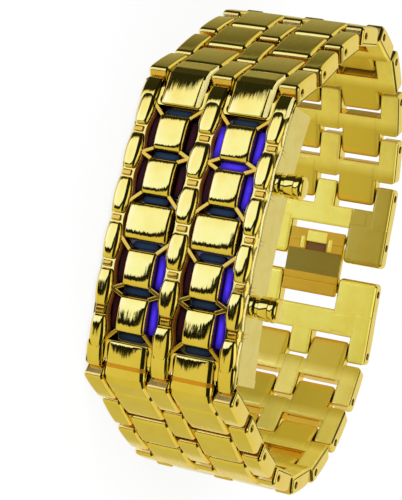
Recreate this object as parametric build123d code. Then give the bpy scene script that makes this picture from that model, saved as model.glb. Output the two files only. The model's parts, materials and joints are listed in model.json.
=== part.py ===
"""LED bracelet watch: a slatted digit head on a band of hinged links, closed by a snap latch.

Every piece is first drawn in a local frame: x runs along the band, y points away from the
wrist and z runs across the band towards the pushers, with z = 0 on the middle of the band.
The frames of the links are then found by walking along the band from both ends of the head.
"""
import math
import os

from build123d import *

# Band: five columns across, two wide ones between three narrow ones
column_centre = 4.3
column_wide = 7.7
column_outer = 3.65
column_gap = 0.16
link_pitch = 9.5
link_thickness = 3.6
link_gap = 1.3
link_corner = 0.35
link_groove = 0.3
core_drop = 0.75
crown_share = 0.4
seam_gap = 0.3
seam_drop = 0.15

# Hinge pins: pressed into the prongs, running in the tongues
pin_radius = 0.6
pin_running_clearance = 0.05
pin_recess = 0.35

# Head: the digit rows lie on an arc
face_radius = 93.0
facet_count = 7
block_count = 5
row_pitch = 7.64
row_gap = 1.54
face_thickness = 1.4
case_wall = 1.4
end_wall = 1.35
end_plate = 2.93
hinge_depth = 5.2
end_slope = 45.0
end_clearance = 0.2
block_rise = 0.8
block_side_gap = 1.2
block_corner = 0.45
block_bevel = 0.4
block_dome = 0.25
bead_rise = 0.9
bead_root = 0.6
bead_gap = 1.5
bead_bulge = 0.35
bead_waist = 0.3
bead_bevel = 0.65
strut_width = 0.6
strut_drop = 0.35
strut_height = 0.9

# Display stack below the face
bar_drop = 0.75
bar_clearance = 0.14
sheet_thickness = 0.3
stack_clearance = 0.05
mask_margin = 0.6
lamp_gap = 0.06
mask_well_margin = 0.2
board_thickness = 0.6
board_clearance = 0.1
led_length = 1.0
led_width = 0.6
led_height = 0.5
chip_length = 5.0
chip_width = 4.0
chip_height = 0.35
leaf_thickness = 0.2
leaf_width = 3.0
leaf_foot = 1.6
leaf_gap = 0.1

# Cells and their holder
cell_thickness = 1.6
cell_clearance = 0.15
cell_gap = 0.6
cell_end_gap = 1.17
cell_step = 0.25
cell_lid_inset = 1.0
holder_margin = 0.3
contact_thickness = 0.15
contact_width = 5.0
terminal_radius = 2.2

# Back cover, gasket and screws
cover_thickness = 1.0
cover_clearance = 0.1
cell_room = 0.1
cover_ledge = 0.7
gasket_thickness = 0.3
gasket_inset = 0.1
boss_radius = 1.5
boss_inset = 1.65
boss_clearance = 0.2
screw_radius = 0.55
screw_head_radius = 1.05
screw_head_height = 0.5
screw_length = 2.6
screw_clearance = 0.05
slot_width = 0.3
slot_depth = 0.25

# Pushers
pusher_station = 10.0
pusher_depth = 2.55
pusher_travel = 0.6
stem_radius = 0.7
stem_clearance = 0.05
tube_radius = 1.3
collar_radius = 1.75
collar_height = 0.9
knob_radius = 2.0
knob_gap = 0.85
knob_length = 2.9
knob_chamfer = 0.45
knob_groove_width = 0.35
knob_groove_depth = 0.3
knob_groove_at = 2.0
knob_sides = 20
flute_count = 12
flute_depth = 0.25
ridge_share = 0.5
spring_radius = 1.15
spring_bore = 0.8
spring_height = 0.2
clip_radius = 1.15
clip_thickness = 0.25
clip_gap = 0.05
clip_seat_radius = 0.52
stem_tail = 0.15

# Clasp
clasp_bar_end = 6.7
latch_bar_gap = 2.8
upper_rail_end = 3.3
latch_hinge_gap = 5.2
lower_rail_end = 1.3
rail_corner = 0.9
latch_side_gap = 0.3
latch_plate_depth = 1.75
latch_plate_thickness = 0.5
latch_flange_thickness = 0.6
latch_flange_depth = 0.25
latch_eye_radius = 1.15
latch_overhang = 1.5
latch_lip = 0.7
snap_clearance = 0.05
snap_seat = 1.2
snap_entry = 1.8
snap_flat = 0.15
snap_rise = 0.35
snap_run = 0.6
latch_dish_depth = 0.15
latch_dish_margin = 1.1

# Bends of the closed band, link by link from the head, in degrees
upper_bends = [14.0, -6.0, 6.0, 18.0, 27.0, 25.0, 20.0, 12.0]
lower_bends = [22.0, -4.0, 6.0, 15.0, 22.0, 22.0, 19.0, 14.0]

# Lit bars, as (column, kind, row): the time shows as 4 over 1 1
lit_side_bars = [(1, -1, 0), (1, 1, 0), (1, 1, 1), (0, 1, 3), (0, 1, 4), (1, 1, 3), (1, 1, 4)]
lit_cross_bars = [(1, 1)]

# Small round shapes have few sides, because there are so many of them
round_sides = 8
disc_sides = 28
overrun = 1.0
tiny = 1e-6

half_thick = link_thickness / 2
column_split = column_centre / 2
column_edge = column_split + column_wide
column_middle = column_split + column_wide / 2
half_width = column_edge + column_outer
band_width = half_width * 2
block_width = column_wide - 2 * block_side_gap
bead_reach = link_pitch / 4 - link_gap / 2
slat_start = link_pitch / 4 + link_gap / 2
tip_radius = math.hypot(bead_reach, half_thick)
block_length = row_pitch - row_gap
well_half = (block_count * row_pitch + row_gap) / 2
body_half = well_half + end_plate
hinge_span = 2 * (body_half + end_clearance + tip_radius)
cavity_half = body_half - end_wall
cavity_side = half_width - case_wall
cell_radius = (cavity_half - cell_end_gap - cell_gap / 2) / 2
cell_spacing = 2 * cell_radius + cell_gap
latch_bar_reach = clasp_bar_end + latch_bar_gap
upper_rail_reach = latch_bar_reach + upper_rail_end
latch_hinge_reach = clasp_bar_end + latch_hinge_gap
lower_rail_reach = latch_hinge_reach + lower_rail_end
blocks = range(-(block_count // 2), block_count // 2 + 1)
gap_rows = [block_count / 2 - gap for gap in range(block_count + 1)]
facet_angle = row_pitch / face_radius
facets = range(-(facet_count // 2), facet_count // 2 + 1)
sides = (-1, 1)

head_frame = Location(Plane(origin=(0, 0, half_width), x_dir=(-1, 0, 0), z_dir=(0, 0, 1)))


def turned(angle):
    """A turn about the local z axis, in degrees."""
    return Location((0, 0, 0), (0, 0, angle))


def flipped():
    """The frame of the lower end of the head: x reversed, y kept."""
    return Location((0, 0, 0), (0, 180, 0))


def face_at(station):
    """Frame on the arc of the face, at a distance along it from the middle."""
    angle = math.degrees(station / face_radius)
    return Location((0, -face_radius, 0)) * turned(-angle) * Location((0, face_radius, 0))


def across(sketch, low, high):
    """A flat outline in x and y, made solid between two places across the band."""
    return Pos(0, 0, low) * extrude(sketch, amount=high - low)


def block_of(x_low, x_high, y_low, y_high, z_low, z_high):
    """A plain block between six planes."""
    size = (x_high - x_low, y_high - y_low, z_high - z_low)
    middle = ((x_low + x_high) / 2, (y_low + y_high) / 2, (z_low + z_high) / 2)
    return Pos(*middle) * Box(*size)


def rod(x, y, radius, low, high, sides=round_sides):
    """A round bar along z."""
    return Pos(x, y, low) * extrude(RegularPolygon(radius, sides), amount=high - low)


def post(x, z, radius, low, high, sides=round_sides):
    """A round bar along y."""
    plane = Plane(origin=(x, low, z), x_dir=(1, 0, 0), z_dir=(0, 1, 0))
    return extrude(plane * RegularPolygon(radius, sides), amount=high - low)


def turning_room(radius):
    """The corner radius of a bore whose flats lie at a radius, so that a pin can turn in it."""
    return radius / math.cos(math.pi / round_sides)


def pillow(x_low, x_high, y_low, y_high, dome, corner, z_low, z_high, bevel):
    """A slat with cut corners and bevelled long edges, and a crowned top if it has a dome."""
    middle = (x_low + x_high) / 2
    flat = (x_high - x_low) * crown_share / 2
    edge = y_high - dome
    crest = [(middle + flat, y_high), (middle - flat, y_high)] if dome else []
    top = [(x_high, edge - corner), (x_high - corner, edge), *crest,
           (x_low + corner, edge), (x_low, edge - corner)]
    base = [(x_low, y_low), (x_high, y_low)]
    slat = across(make_face(Polyline(*base, *top, close=True)), z_low, z_high)
    return chamfer([side for side in slat.edges() if is_crown(side, edge)], bevel)


def is_crown(edge, level):
    """Whether an edge runs along the top of a slat, on one of its long sides."""
    first, last = edge.vertices()
    return min(first.Y, last.Y) > level - tiny and abs(first.Z - last.Z) < tiny


def depth_at(x, depth):
    """The y of a layer of the head at a place along the band: flat along each digit row."""
    radius = face_radius - depth
    heights = [(radius - x * math.sin(step * facet_angle)) / math.cos(step * facet_angle)
               for step in facets]
    return min(heights) - face_radius


def layer_edge(depth, half_length):
    """The corners of a layer of the head, from one end of it to the other."""
    radius = (face_radius - depth) / math.cos(facet_angle / 2)
    corners = [radius * math.sin((step + 1 / 2) * facet_angle) for step in facets[:-1]]
    places = [-half_length] + [x for x in corners if abs(x) < half_length] + [half_length]
    return [(x, depth_at(x, depth)) for x in places]


def arc_band(top, bottom, half_length):
    """The outline of a slab of the head between two depths below the face."""
    outer = layer_edge(top, half_length)
    inner = layer_edge(bottom, half_length)
    return make_face(Polyline(*outer, *reversed(inner), close=True))


def mask_floor():
    """The depth of the flat floor of the light mask: a lamp clears the sheet at the last row."""
    sheet_back = face_thickness + stack_clearance + sheet_thickness
    return lamp_gap + led_height - depth_at(well_half, sheet_back)


def case_depth():
    """The thickness of the head: the flat stack under the mask, and the back cover."""
    cells = cell_thickness + 2 * contact_thickness + 2 * stack_clearance
    return mask_floor() + board_thickness + cells + cell_room + cover_thickness


def facet_rise():
    """How far the corner between two flats of the face stands out from its arc."""
    return face_radius / math.cos(facet_angle / 2) - face_radius


def columns_wide():
    """The z range of each wide column."""
    return [(-column_edge, -column_split), (column_split, column_edge)]


def columns_narrow():
    """The z range of each narrow column."""
    return [(-half_width, -column_edge), (-column_split, column_split), (column_edge, half_width)]


def trimmed(low, high, gap):
    """A column range with half a gap taken off each side that has a neighbour."""
    low_trim = 0 if low <= -half_width else gap / 2
    high_trim = 0 if high >= half_width else gap / 2
    return low + low_trim, high - high_trim


def link_slat(x_low, x_high, z_low, z_high):
    """One slat of a link."""
    low, high = trimmed(z_low, z_high, column_gap)
    return pillow(x_low, x_high, -half_thick, half_thick, 0, link_corner, low, high,
                  link_groove)


def prongs(reach):
    """The three narrow slats that hold the pin at x = 0 and run on to a reach."""
    return [link_slat(-bead_reach, reach, low, high) for low, high in columns_narrow()]


def pin_bore(x):
    """The hole that grips a pin, right across the band."""
    return rod(x, 0, turning_room(pin_radius), -half_width - overrun, half_width + overrun)


def tongue_bore(x):
    """The running holes of a pin through the two wide slats."""
    radius = turning_room(pin_radius + pin_running_clearance)
    return [rod(x, 0, radius, low, high) for low, high in columns_wide()]


def band_link():
    """A link: three prongs at its pin, two tongues at the next pin, and a core joining them."""
    start = slat_start
    end = link_pitch - start
    core = block_of(start, end - link_corner, -half_thick, half_thick - core_drop,
                    -half_width + link_groove, half_width - link_groove)
    tongues = [link_slat(start, link_pitch + bead_reach, low, high) for low, high in columns_wide()]
    body = Part() + core + prongs(end) + tongues
    return body - pin_bore(0) - tongue_bore(link_pitch)


def hinge_pin(x=0):
    """A plain round pin, its ends just below the sides of the band."""
    return Pos(x, 0, 0) * Cylinder(pin_radius, band_width - 2 * pin_recess)


def digit_block(low, high):
    """One raised block of the display grille."""
    half = block_length / 2
    return pillow(-half, half, -face_thickness, block_rise, block_dome, block_corner,
                  low, high, block_bevel)


def bead_side(edge, outward):
    """The side of a bead at its end and at its middle: straight along the wall of the case."""
    if abs(edge) >= half_width:
        return edge, edge
    return edge - outward * bead_waist, edge + outward * bead_bulge


def face_bead(low, high):
    """One barrel-shaped bead of the narrow columns of the head, with a bevelled top."""
    half = (row_pitch - bead_gap) / 2
    low_end, low_middle = bead_side(low, -1)
    high_end, high_middle = bead_side(high, 1)
    plan = [(half, low_end), (0, low_middle), (-half, low_end),
            (-half, high_end), (0, high_middle), (half, high_end)]
    outline = make_face(Polyline(*[(x, -bead_root, z) for x, z in plan], close=True))
    bead = extrude(outline, amount=bead_root + bead_rise, dir=(0, 1, 0))
    return chamfer(bead.edges().group_by(Axis.Y)[-1], bead_bevel)


def strut(row, end, side, column):
    """A diagonal rib from a corner of a narrow block to the side of its well.

    Two ribs meet in a point between narrow blocks; elsewhere one rib crosses the whole gap.
    """
    x_block = row * row_pitch + end * block_length / 2
    z_block = column + side * block_width / 2
    z_well = column + side * column_wide / 2
    meets = row + end in blocks and row + end != 0
    reach = row_gap / 2 if meets else row_gap
    x_well = x_block + end * reach
    length = math.hypot(reach, z_well - z_block) + strut_width
    heading = math.degrees(math.atan2(z_well - z_block, x_well - x_block))
    rib = Box(length, strut_height, strut_width)
    rib = Location((0, 0, 0), (0, -heading, 0)) * rib
    middle = Pos(0, -strut_drop - strut_height / 2, (z_block + z_well) / 2)
    return face_at((x_block + x_well) / 2) * middle * rib


def end_block(low, high, bend):
    """The end block of a wide column, folded down into the tongue of the first hinge.

    Its tip is cut square to the first link, with a thin seam between them.
    """
    hinge = Location((hinge_span / 2, -hinge_depth, 0)) * turned(-end_slope)
    link = hinge * turned(-bend)
    tip_out = (link * Vertex(slat_start - seam_gap, half_thick - seam_drop, 0)).center()
    tip_in = (link * Vertex(slat_start - seam_gap, -half_thick, 0)).center()
    fold = (hinge * Vertex(0, half_thick, 0)).center()
    along = (hinge * Vertex(1, half_thick, 0)).center() - fold
    lean = (fold + Vector(0, face_radius)).dot(along)
    reach = (fold + Vector(0, face_radius)).length
    top_radius = face_radius + block_rise
    crease = fold - along * (lean + math.sqrt(lean ** 2 + top_radius ** 2 - reach ** 2))
    back = (hinge * Vertex(0, -half_thick, 0)).center()
    root_in = back - along * ((back.X - cavity_half) / along.X)
    start = (face_at(well_half) * Vertex(0, block_rise - block_corner, 0)).center()
    first = (face_at(well_half) * Vertex(block_corner, block_rise, 0)).center()
    root = Vector(start.X, depth_at(start.X, face_thickness))
    corners = [start, first, crease, fold, tip_out, tip_in, back, root_in, root]
    outline = make_face(Polyline(*[(corner.X, corner.Y) for corner in corners], close=True))
    low, high = trimmed(low, high, column_gap)
    tongue = across(outline, low, high)
    bore = Location((hinge_span / 2, -hinge_depth, 0)) * rod(
        0, 0, turning_room(pin_radius + pin_running_clearance), low - overrun, high + overrun)
    return tongue - bore


def case_shell():
    """The walls and the face of the case, open at the back."""
    side = across(arc_band(0, case_depth(), body_half), -half_width, half_width)
    hollow = across(arc_band(face_thickness, case_depth() + overrun, cavity_half),
                    -cavity_side, cavity_side)
    ledge_top = case_depth() - cover_thickness - gasket_thickness
    rebate = across(arc_band(ledge_top, case_depth() + overrun, cavity_half + cover_ledge),
                    -cavity_side - cover_ledge, cavity_side + cover_ledge)
    return side - hollow - rebate


def boss_places():
    """Where the four screws of the back cover stand, as x and z."""
    x = cavity_half - boss_inset
    z = cavity_side - boss_inset
    return [(sx * x, sz * z) for sx in sides for sz in sides]


def cover_seat():
    """The depth of the underside of the back cover."""
    return case_depth() - cover_thickness


def screw_bosses():
    """Four posts that take the screws of the back cover, cut to its curve."""
    room = across(arc_band(face_thickness / 2, cover_seat() - stack_clearance, body_half),
                  -cavity_side, cavity_side)
    low = depth_at(cavity_half, case_depth())
    return [post(x, z, boss_radius, low, 0) & room for x, z in boss_places()]


def screw_holes(radius):
    """Straight holes on the screw axes, from the back up to the screw length."""
    holes = []
    for x, z in boss_places():
        low = depth_at(x, case_depth() + overrun)
        holes.append(post(x, z, radius, low, depth_at(x, case_depth() - screw_length)))
    return holes


def wells():
    """The openings of the two wide columns through the face."""
    return [block_of(-well_half, well_half, -mask_floor(), overrun, low, high)
            for low, high in columns_wide()]


def head_case():
    """The case with its grille of blocks, beads, ribs and the four hinge tongues."""
    body = case_shell() + screw_bosses()
    body -= wells()
    solids = []
    for low, high in columns_wide():
        column = (low + high) / 2
        for row in blocks:
            half = block_width / 2 if row else column_wide / 2 + column_gap
            solids.append(face_at(row * row_pitch) * digit_block(column - half, column + half))
            if row:
                solids += [strut(row, end, side, column) for end in sides for side in sides]
        solids.append(end_block(low, high, upper_bends[0]))
        solids.append(flipped() * end_block(-high, -low, lower_bends[0]))
    for low, high in columns_narrow():
        solids += [face_at(row * row_pitch) * face_bead(low, high) for row in gap_rows]
    body += solids
    body -= [rod(x, -pusher_depth_at(), tube_radius, cavity_side - overrun, half_width + overrun)
             for x in (-pusher_station, pusher_station)]
    return body - screw_holes(screw_radius)


def pusher_depth_at():
    """The depth of both pusher axes below the middle of the face."""
    return pusher_depth - depth_at(pusher_station, 0)


def cross_bar(column, row):
    """A light bar in the gap between two blocks, counted in gaps from the middle."""
    length = block_width - strut_width
    return face_at(row * row_pitch) * block_of(
        -row_gap / 2 + bar_clearance, row_gap / 2 - bar_clearance,
        facet_rise() - face_thickness, -bar_drop, column - length / 2, column + length / 2)


def side_bar(column, side, row):
    """A light bar beside a narrow block."""
    low = column + side * block_width / 2
    high = column + side * column_wide / 2
    z_low, z_high = sorted((low, high))
    half = block_length / 2 - strut_width / 2
    return face_at(row * row_pitch) * block_of(
        -half, half, -face_thickness, -bar_drop, z_low + bar_clearance, z_high - bar_clearance)


def light_bars():
    """The lit and the unlit bars of the four digits."""
    lit = []
    unlit = []
    for index, column in enumerate((-column_middle, column_middle)):
        for order, row in enumerate(reversed(blocks)):
            if row:
                for side in sides:
                    group = lit if (index, side, order) in lit_side_bars else unlit
                    group.append(side_bar(column, side, row))
        for gap, row in enumerate(gap_rows):
            group = lit if (index, gap) in lit_cross_bars else unlit
            group.append(cross_bar(column, row))
    return lit, unlit


def mask_half():
    """Half the width of the light mask."""
    return column_edge + mask_margin


def corner_notches():
    """Room for the screw bosses at the corners of the plates inside the case."""
    reach = boss_radius + boss_clearance
    low = depth_at(cavity_half, case_depth())
    notches = []
    for x, z in boss_places():
        x_ends = sorted((x - math.copysign(reach, x), math.copysign(half_width * 2, x)))
        z_ends = sorted((z - math.copysign(reach, z), math.copysign(half_width * 2, z)))
        notches.append(block_of(*x_ends, low, overrun, *z_ends))
    return notches


def diffuser_sheet():
    """The thin curved sheet that the light bars stand on."""
    top = face_thickness + stack_clearance
    sheet = arc_band(top, top + sheet_thickness, well_half + mask_margin)
    return across(sheet, -mask_half(), mask_half()) - corner_notches()


def mask_wells():
    """A light well under each bar of the four digits."""
    cuts = []
    span = mask_floor() + overrun
    for column in (-column_middle, column_middle):
        for row in blocks:
            if row:
                for side in sides:
                    z = column + side * (block_width + column_wide) / 4
                    half_z = (column_wide - block_width) / 4 + mask_well_margin / 2
                    half_x = block_length / 2 - strut_width
                    x = face_radius * math.sin(row * row_pitch / face_radius)
                    cuts.append(block_of(x - half_x, x + half_x, -span, 0, z - half_z, z + half_z))
        for row in gap_rows:
            x = face_radius * math.sin(row * row_pitch / face_radius)
            half_x = row_gap / 2 - mask_well_margin / 2
            half_z = block_width / 2 - strut_width
            low, high = column - half_z, column + half_z
            cuts.append(block_of(x - half_x, x + half_x, -span, 0, low, high))
    return cuts


def light_mask():
    """The opaque frame between the lamps and the bars: curved top, flat floor."""
    top = face_thickness + stack_clearance + sheet_thickness + stack_clearance
    reach = well_half + mask_margin
    upper = across(arc_band(top, face_radius / 2, reach), -mask_half(), mask_half())
    keep = block_of(-reach, reach, -mask_floor(), 0, -mask_half(), mask_half())
    return (upper & keep) - mask_wells() - corner_notches()


def board_half():
    """Half the width of the circuit board."""
    return cavity_side - board_clearance


def circuit_board():
    """The flat board, cut away at the screw bosses."""
    top = -mask_floor() - stack_clearance
    plate = block_of(-cavity_half + holder_margin, cavity_half - holder_margin,
                     top - board_thickness, top, -board_half(), board_half())
    return plate - corner_notches()


def led_chips():
    """A lamp under each light bar."""
    chips = []
    low = -mask_floor() - stack_clearance
    for column in (-column_middle, column_middle):
        for row in blocks:
            if row:
                for side in sides:
                    z = column + side * (block_width + column_wide) / 4
                    x = face_radius * math.sin(row * row_pitch / face_radius)
                    chips.append(block_of(x - led_length / 2, x + led_length / 2, low,
                                          low + led_height, z - led_width / 2, z + led_width / 2))
        for row in gap_rows:
            x = face_radius * math.sin(row * row_pitch / face_radius)
            low_z, high_z = column - led_length / 2, column + led_length / 2
            chips.append(block_of(x - led_width / 2, x + led_width / 2, low,
                                  low + led_height, low_z, high_z))
    return chips


def board_back():
    """The y of the wrist side of the board."""
    return -mask_floor() - stack_clearance - board_thickness


def watch_chip():
    """The timekeeping chip, on the wrist side of the board between the cells."""
    back = board_back()
    z_far = board_half() - mask_margin
    return block_of(-chip_length / 2, chip_length / 2, back - chip_height, back,
                    z_far - chip_width, z_far)


def leaf_place():
    """The z of the outer face of a switch leaf: just beyond the pressed stem."""
    return stem_end() - pusher_travel - leaf_gap


def stem_end():
    """The z of the inner end of a pusher stem at rest."""
    return cavity_side - clip_gap - clip_thickness - stem_tail


def switch_leaf(x):
    """A bent contact leaf on the board, facing the end of a pusher stem."""
    outer = leaf_place()
    floor = -mask_floor() - stack_clearance
    top = -pusher_depth_at() + stem_radius
    upright = block_of(x - leaf_width / 2, x + leaf_width / 2, floor, top,
                       outer - leaf_thickness, outer)
    foot_high = outer
    foot = block_of(x - leaf_width / 2, x + leaf_width / 2, floor, floor + leaf_thickness,
                    foot_high, min(foot_high + leaf_foot, board_half()))
    return upright + foot


def cells_top():
    """The y of the board side of the cells."""
    return board_back() - contact_thickness - stack_clearance


def button_cell(x):
    """A coin cell: a wide can with a stepped lid."""
    top = cells_top()
    lid = post(x, 0, cell_radius - cell_lid_inset, top - cell_step, top, disc_sides)
    can = post(x, 0, cell_radius, top - cell_thickness, top - cell_step, disc_sides)
    return can + lid


def battery_holder():
    """The tray with two round pockets that locates the cells."""
    top = board_back() - stack_clearance
    low = cells_top() - cell_thickness
    plate = block_of(-cavity_half + holder_margin, cavity_half - holder_margin, low, top,
                     -board_half(), board_half())
    pockets = [post(side * cell_spacing / 2, 0, cell_radius + cell_clearance,
                    low - overrun, top + overrun, disc_sides) for side in sides]
    z_far = board_half() - mask_margin
    chip_room = block_of(-chip_length / 2 - cell_clearance, chip_length / 2 + cell_clearance,
                         board_back() - chip_height - cell_clearance, top + overrun,
                         z_far - chip_width - cell_clearance, z_far + cell_clearance)
    return plate - pockets - chip_room - corner_notches()


def battery_contacts():
    """The strip that joins the two cells, and a pad on each cell."""
    low = cells_top() - cell_thickness
    reach = cell_spacing / 2
    strip = block_of(-reach, reach, low - contact_thickness, low,
                     -contact_width / 2, contact_width / 2)
    pads = [post(side * reach, 0, terminal_radius, cells_top(), cells_top() + contact_thickness)
            for side in sides]
    return [strip] + pads


def back_gasket():
    """The flat seal under the edge of the back cover."""
    top = case_depth() - cover_thickness - gasket_thickness
    outer = cavity_half + cover_ledge - cover_clearance
    outer_side = cavity_side + cover_ledge - cover_clearance
    ring = across(arc_band(top, top + gasket_thickness, outer), -outer_side, outer_side)
    inner = cavity_half + gasket_inset
    inner_side = cavity_side + gasket_inset
    hole = across(arc_band(top - overrun, top + gasket_thickness + overrun, inner),
                  -inner_side, inner_side)
    return ring - hole


def back_cover():
    """The curved cover on the wrist side, with four countersunk screw holes."""
    outer = cavity_half + cover_ledge - cover_clearance
    outer_side = cavity_side + cover_ledge - cover_clearance
    plate = across(arc_band(cover_seat(), case_depth(), outer), -outer_side, outer_side)
    cuts = screw_holes(screw_radius + screw_clearance)
    for x, z in boss_places():
        low = depth_at(x, case_depth() + overrun)
        sunk = depth_at(x, case_depth()) + screw_head_height + screw_clearance
        cuts.append(post(x, z, screw_head_radius + screw_clearance, low, sunk))
    return plate - cuts


def back_screws():
    """Four slotted screws."""
    screws = []
    for x, z in boss_places():
        low = depth_at(x, case_depth())
        shank = post(x, z, screw_radius, low, depth_at(x, case_depth() - screw_length))
        head = post(x, z, screw_head_radius, low, low + screw_head_height)
        slot = block_of(x - screw_head_radius, x + screw_head_radius, low - overrun,
                        low + slot_depth, z - slot_width / 2, z + slot_width / 2)
        screws.append(shank + head - slot)
    return screws


def pusher_tube(x):
    """The fixed tube of a pusher: pressed through the wall, with a collar outside."""
    y = -pusher_depth_at()
    sleeve = rod(x, y, tube_radius, cavity_side, half_width + overrun / 2)
    collar = rod(x, y, collar_radius, half_width, half_width + collar_height)
    bore = rod(x, y, stem_radius + stem_clearance, cavity_side - overrun,
               half_width + collar_height + overrun)
    return sleeve + collar - bore


def knob_start():
    """The z where a knob begins at rest."""
    return half_width + collar_height + knob_gap


def fluted_plan():
    """The outline of a knob with a shallow flute between each pair of ridges."""
    corners = []
    step = 2 * math.pi / flute_count
    for index in range(flute_count):
        turn = index * step
        half = step * ridge_share / 2
        corners.append((knob_radius * math.cos(turn - half), knob_radius * math.sin(turn - half)))
        corners.append((knob_radius * math.cos(turn + half), knob_radius * math.sin(turn + half)))
        valley = knob_radius - flute_depth
        turn += step / 2
        corners.append((valley * math.cos(turn), valley * math.sin(turn)))
    return make_face(Polyline(*corners, close=True))


def pusher_button(x):
    """A fluted knob with a plain cap, on its stem."""
    y = -pusher_depth_at()
    start = knob_start()
    groove_low = start + knob_groove_at
    groove_high = groove_low + knob_groove_width
    grip = Pos(x, y, start) * extrude(fluted_plan(), amount=groove_low - start)
    neck = rod(x, y, knob_radius - knob_groove_depth, groove_low, groove_high, knob_sides)
    cap = rod(x, y, knob_radius, groove_high, start + knob_length, knob_sides)
    cap = chamfer(cap.edges().group_by(Axis.Z)[-1], knob_chamfer)
    stem = rod(x, y, stem_radius, stem_end(), start)
    clip_low = cavity_side - clip_gap - clip_thickness
    seat = (rod(x, y, stem_radius + overrun, clip_low, clip_low + clip_thickness)
            - rod(x, y, clip_seat_radius, clip_low - overrun,
                  clip_low + clip_thickness + overrun))
    return grip + neck + cap + (stem - seat)


def pusher_clip(x):
    """The open ring that keeps a pusher in its tube."""
    y = -pusher_depth_at()
    low = cavity_side - clip_gap - clip_thickness
    ring = (rod(x, y, clip_radius, low, low + clip_thickness)
            - rod(x, y, clip_seat_radius, low - overrun, low + clip_thickness + overrun))
    half = clip_seat_radius / 2
    mouth = block_of(x, x + clip_radius + overrun, y - half, y + half,
                     low - overrun, low + clip_thickness + overrun)
    return ring - mouth


def pusher_spring(x):
    """The small return spring, drawn as the closed ring that it fills when pressed."""
    y = -pusher_depth_at()
    low = half_width + collar_height
    return (rod(x, y, spring_radius, low, low + spring_height)
            - rod(x, y, spring_bore, low - overrun, low + spring_height + overrun))


def band_frames(start, bends):
    """The frame of each link at its own pin, and the frame after the last link."""
    frames = []
    here = start
    for bend in bends:
        here = here * turned(-bend)
        frames.append(here)
        here = here * Location((link_pitch, 0, 0))
    return frames, here


def hinge_start(end):
    """The frame of a head hinge, turned along the slope of its tongue."""
    base = head_frame if end > 0 else head_frame * flipped()
    return base * Location((hinge_span / 2, -hinge_depth, 0)) * turned(-end_slope)


def aimed(frame, target):
    """A frame turned about its own z axis until its x axis points at a place."""
    place = (frame.inverse() * Location(target)).position
    return frame * turned(math.degrees(math.atan2(place.Y, place.X)))


def clasp_frames():
    """The frames of both clasp halves, which lie on one line, and the span between them."""
    upper_end = band_frames(hinge_start(1), upper_bends)[1]
    lower_end = band_frames(hinge_start(-1), lower_bends)[1]
    upper = aimed(upper_end, lower_end.position)
    lower = aimed(lower_end, upper_end.position)
    span = (upper_end.position - lower_end.position).length
    return upper, lower, span


def clasp_half(rail_reach, hole_at):
    """Half of the clasp: a bar with three prongs, and two rails that carry a cross pin."""
    start = slat_start
    slats = prongs(clasp_bar_end)
    slats += [link_slat(start, clasp_bar_end, low, high) for low, high in columns_wide()]
    core = block_of(start, clasp_bar_end - link_corner, -half_thick, half_thick - core_drop,
                    -half_width + link_groove, half_width - link_groove)
    low = column_edge + column_gap / 2
    rails = []
    for z_low, z_high in ((low, half_width), (-half_width, -low)):
        rails.append(pillow(start, rail_reach, -half_thick, half_thick, 0, rail_corner,
                            z_low, z_high, link_groove))
    return Part() + core + slats + rails - pin_bore(0) - pin_bore(hole_at)


def latch_blade(span):
    """The latch: a dished plate with two side flanges, an eye round its pin and a snap lip."""
    eye = latch_hinge_reach
    bar = span - latch_bar_reach
    end = bar + latch_overhang
    width = column_edge - latch_side_gap
    plate_low = -latch_plate_depth
    plate_high = plate_low + latch_plate_thickness
    notch = -pin_radius - snap_clearance
    with BuildSketch() as side:
        with BuildLine():
            Polyline((eye, plate_low), (end, plate_low), (end + latch_lip, plate_high),
                     (end, notch + snap_rise), (bar + snap_flat + snap_run, notch + snap_rise),
                     (bar + snap_flat, notch), (bar - snap_seat, notch),
                     (bar - snap_entry, -latch_flange_depth), (eye, -latch_flange_depth),
                     (eye, plate_low))
        make_face()
        with Locations((eye, 0)):
            RegularPolygon(latch_eye_radius, round_sides)
    outer = across(side.sketch, -width, width)
    inside = width - latch_flange_thickness
    channel = block_of(eye - latch_eye_radius - overrun, end + latch_lip + overrun, plate_high,
                       latch_eye_radius + overrun, -inside, inside)
    curl = rod(eye, 0, latch_eye_radius, -inside, inside)
    blade = outer - channel + curl
    dish_low = eye + latch_eye_radius + latch_dish_margin
    dish = block_of(dish_low, bar - latch_dish_margin, plate_low - overrun,
                    plate_low + latch_dish_depth, -inside + latch_dish_margin,
                    inside - latch_dish_margin)
    bore = rod(eye, 0, turning_room(pin_radius + pin_running_clearance),
               -width - overrun, width + overrun)
    return blade - dish - bore


def head_pieces():
    """Every piece that the head carries, in the frame of the head."""
    lit, unlit = light_bars()
    places = (-pusher_station, pusher_station)
    pieces = {
        "head_case": head_case(),
        "segment_bars_lit": lit,
        "segment_bars_unlit": unlit,
        "diffuser_sheet": diffuser_sheet(),
        "light_mask": light_mask(),
        "circuit_board": circuit_board(),
        "led_chips": led_chips(),
        "watch_chip": watch_chip(),
        "switch_leaves": [switch_leaf(x) for x in places],
        "battery_holder": battery_holder(),
        "button_cells": [button_cell(side * cell_spacing / 2) for side in sides],
        "battery_contacts": battery_contacts(),
        "back_gasket": back_gasket(),
        "back_cover": back_cover(),
        "back_screws": back_screws(),
        "pusher_tubes": [pusher_tube(x) for x in places],
        "pusher_springs": [pusher_spring(x) for x in places],
        "upper_pusher_button": pusher_button(pusher_station),
        "upper_pusher_clip": pusher_clip(pusher_station),
        "lower_pusher_button": pusher_button(-pusher_station),
        "lower_pusher_clip": pusher_clip(-pusher_station),
    }
    return {name: placed(piece, head_frame) for name, piece in pieces.items()}


def placed(piece, frame):
    """One piece, or each of a group of like pieces, moved to a frame."""
    if isinstance(piece, list):
        return Compound(children=[frame * solid for one in piece for solid in one.solids()])
    return frame * piece


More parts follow.
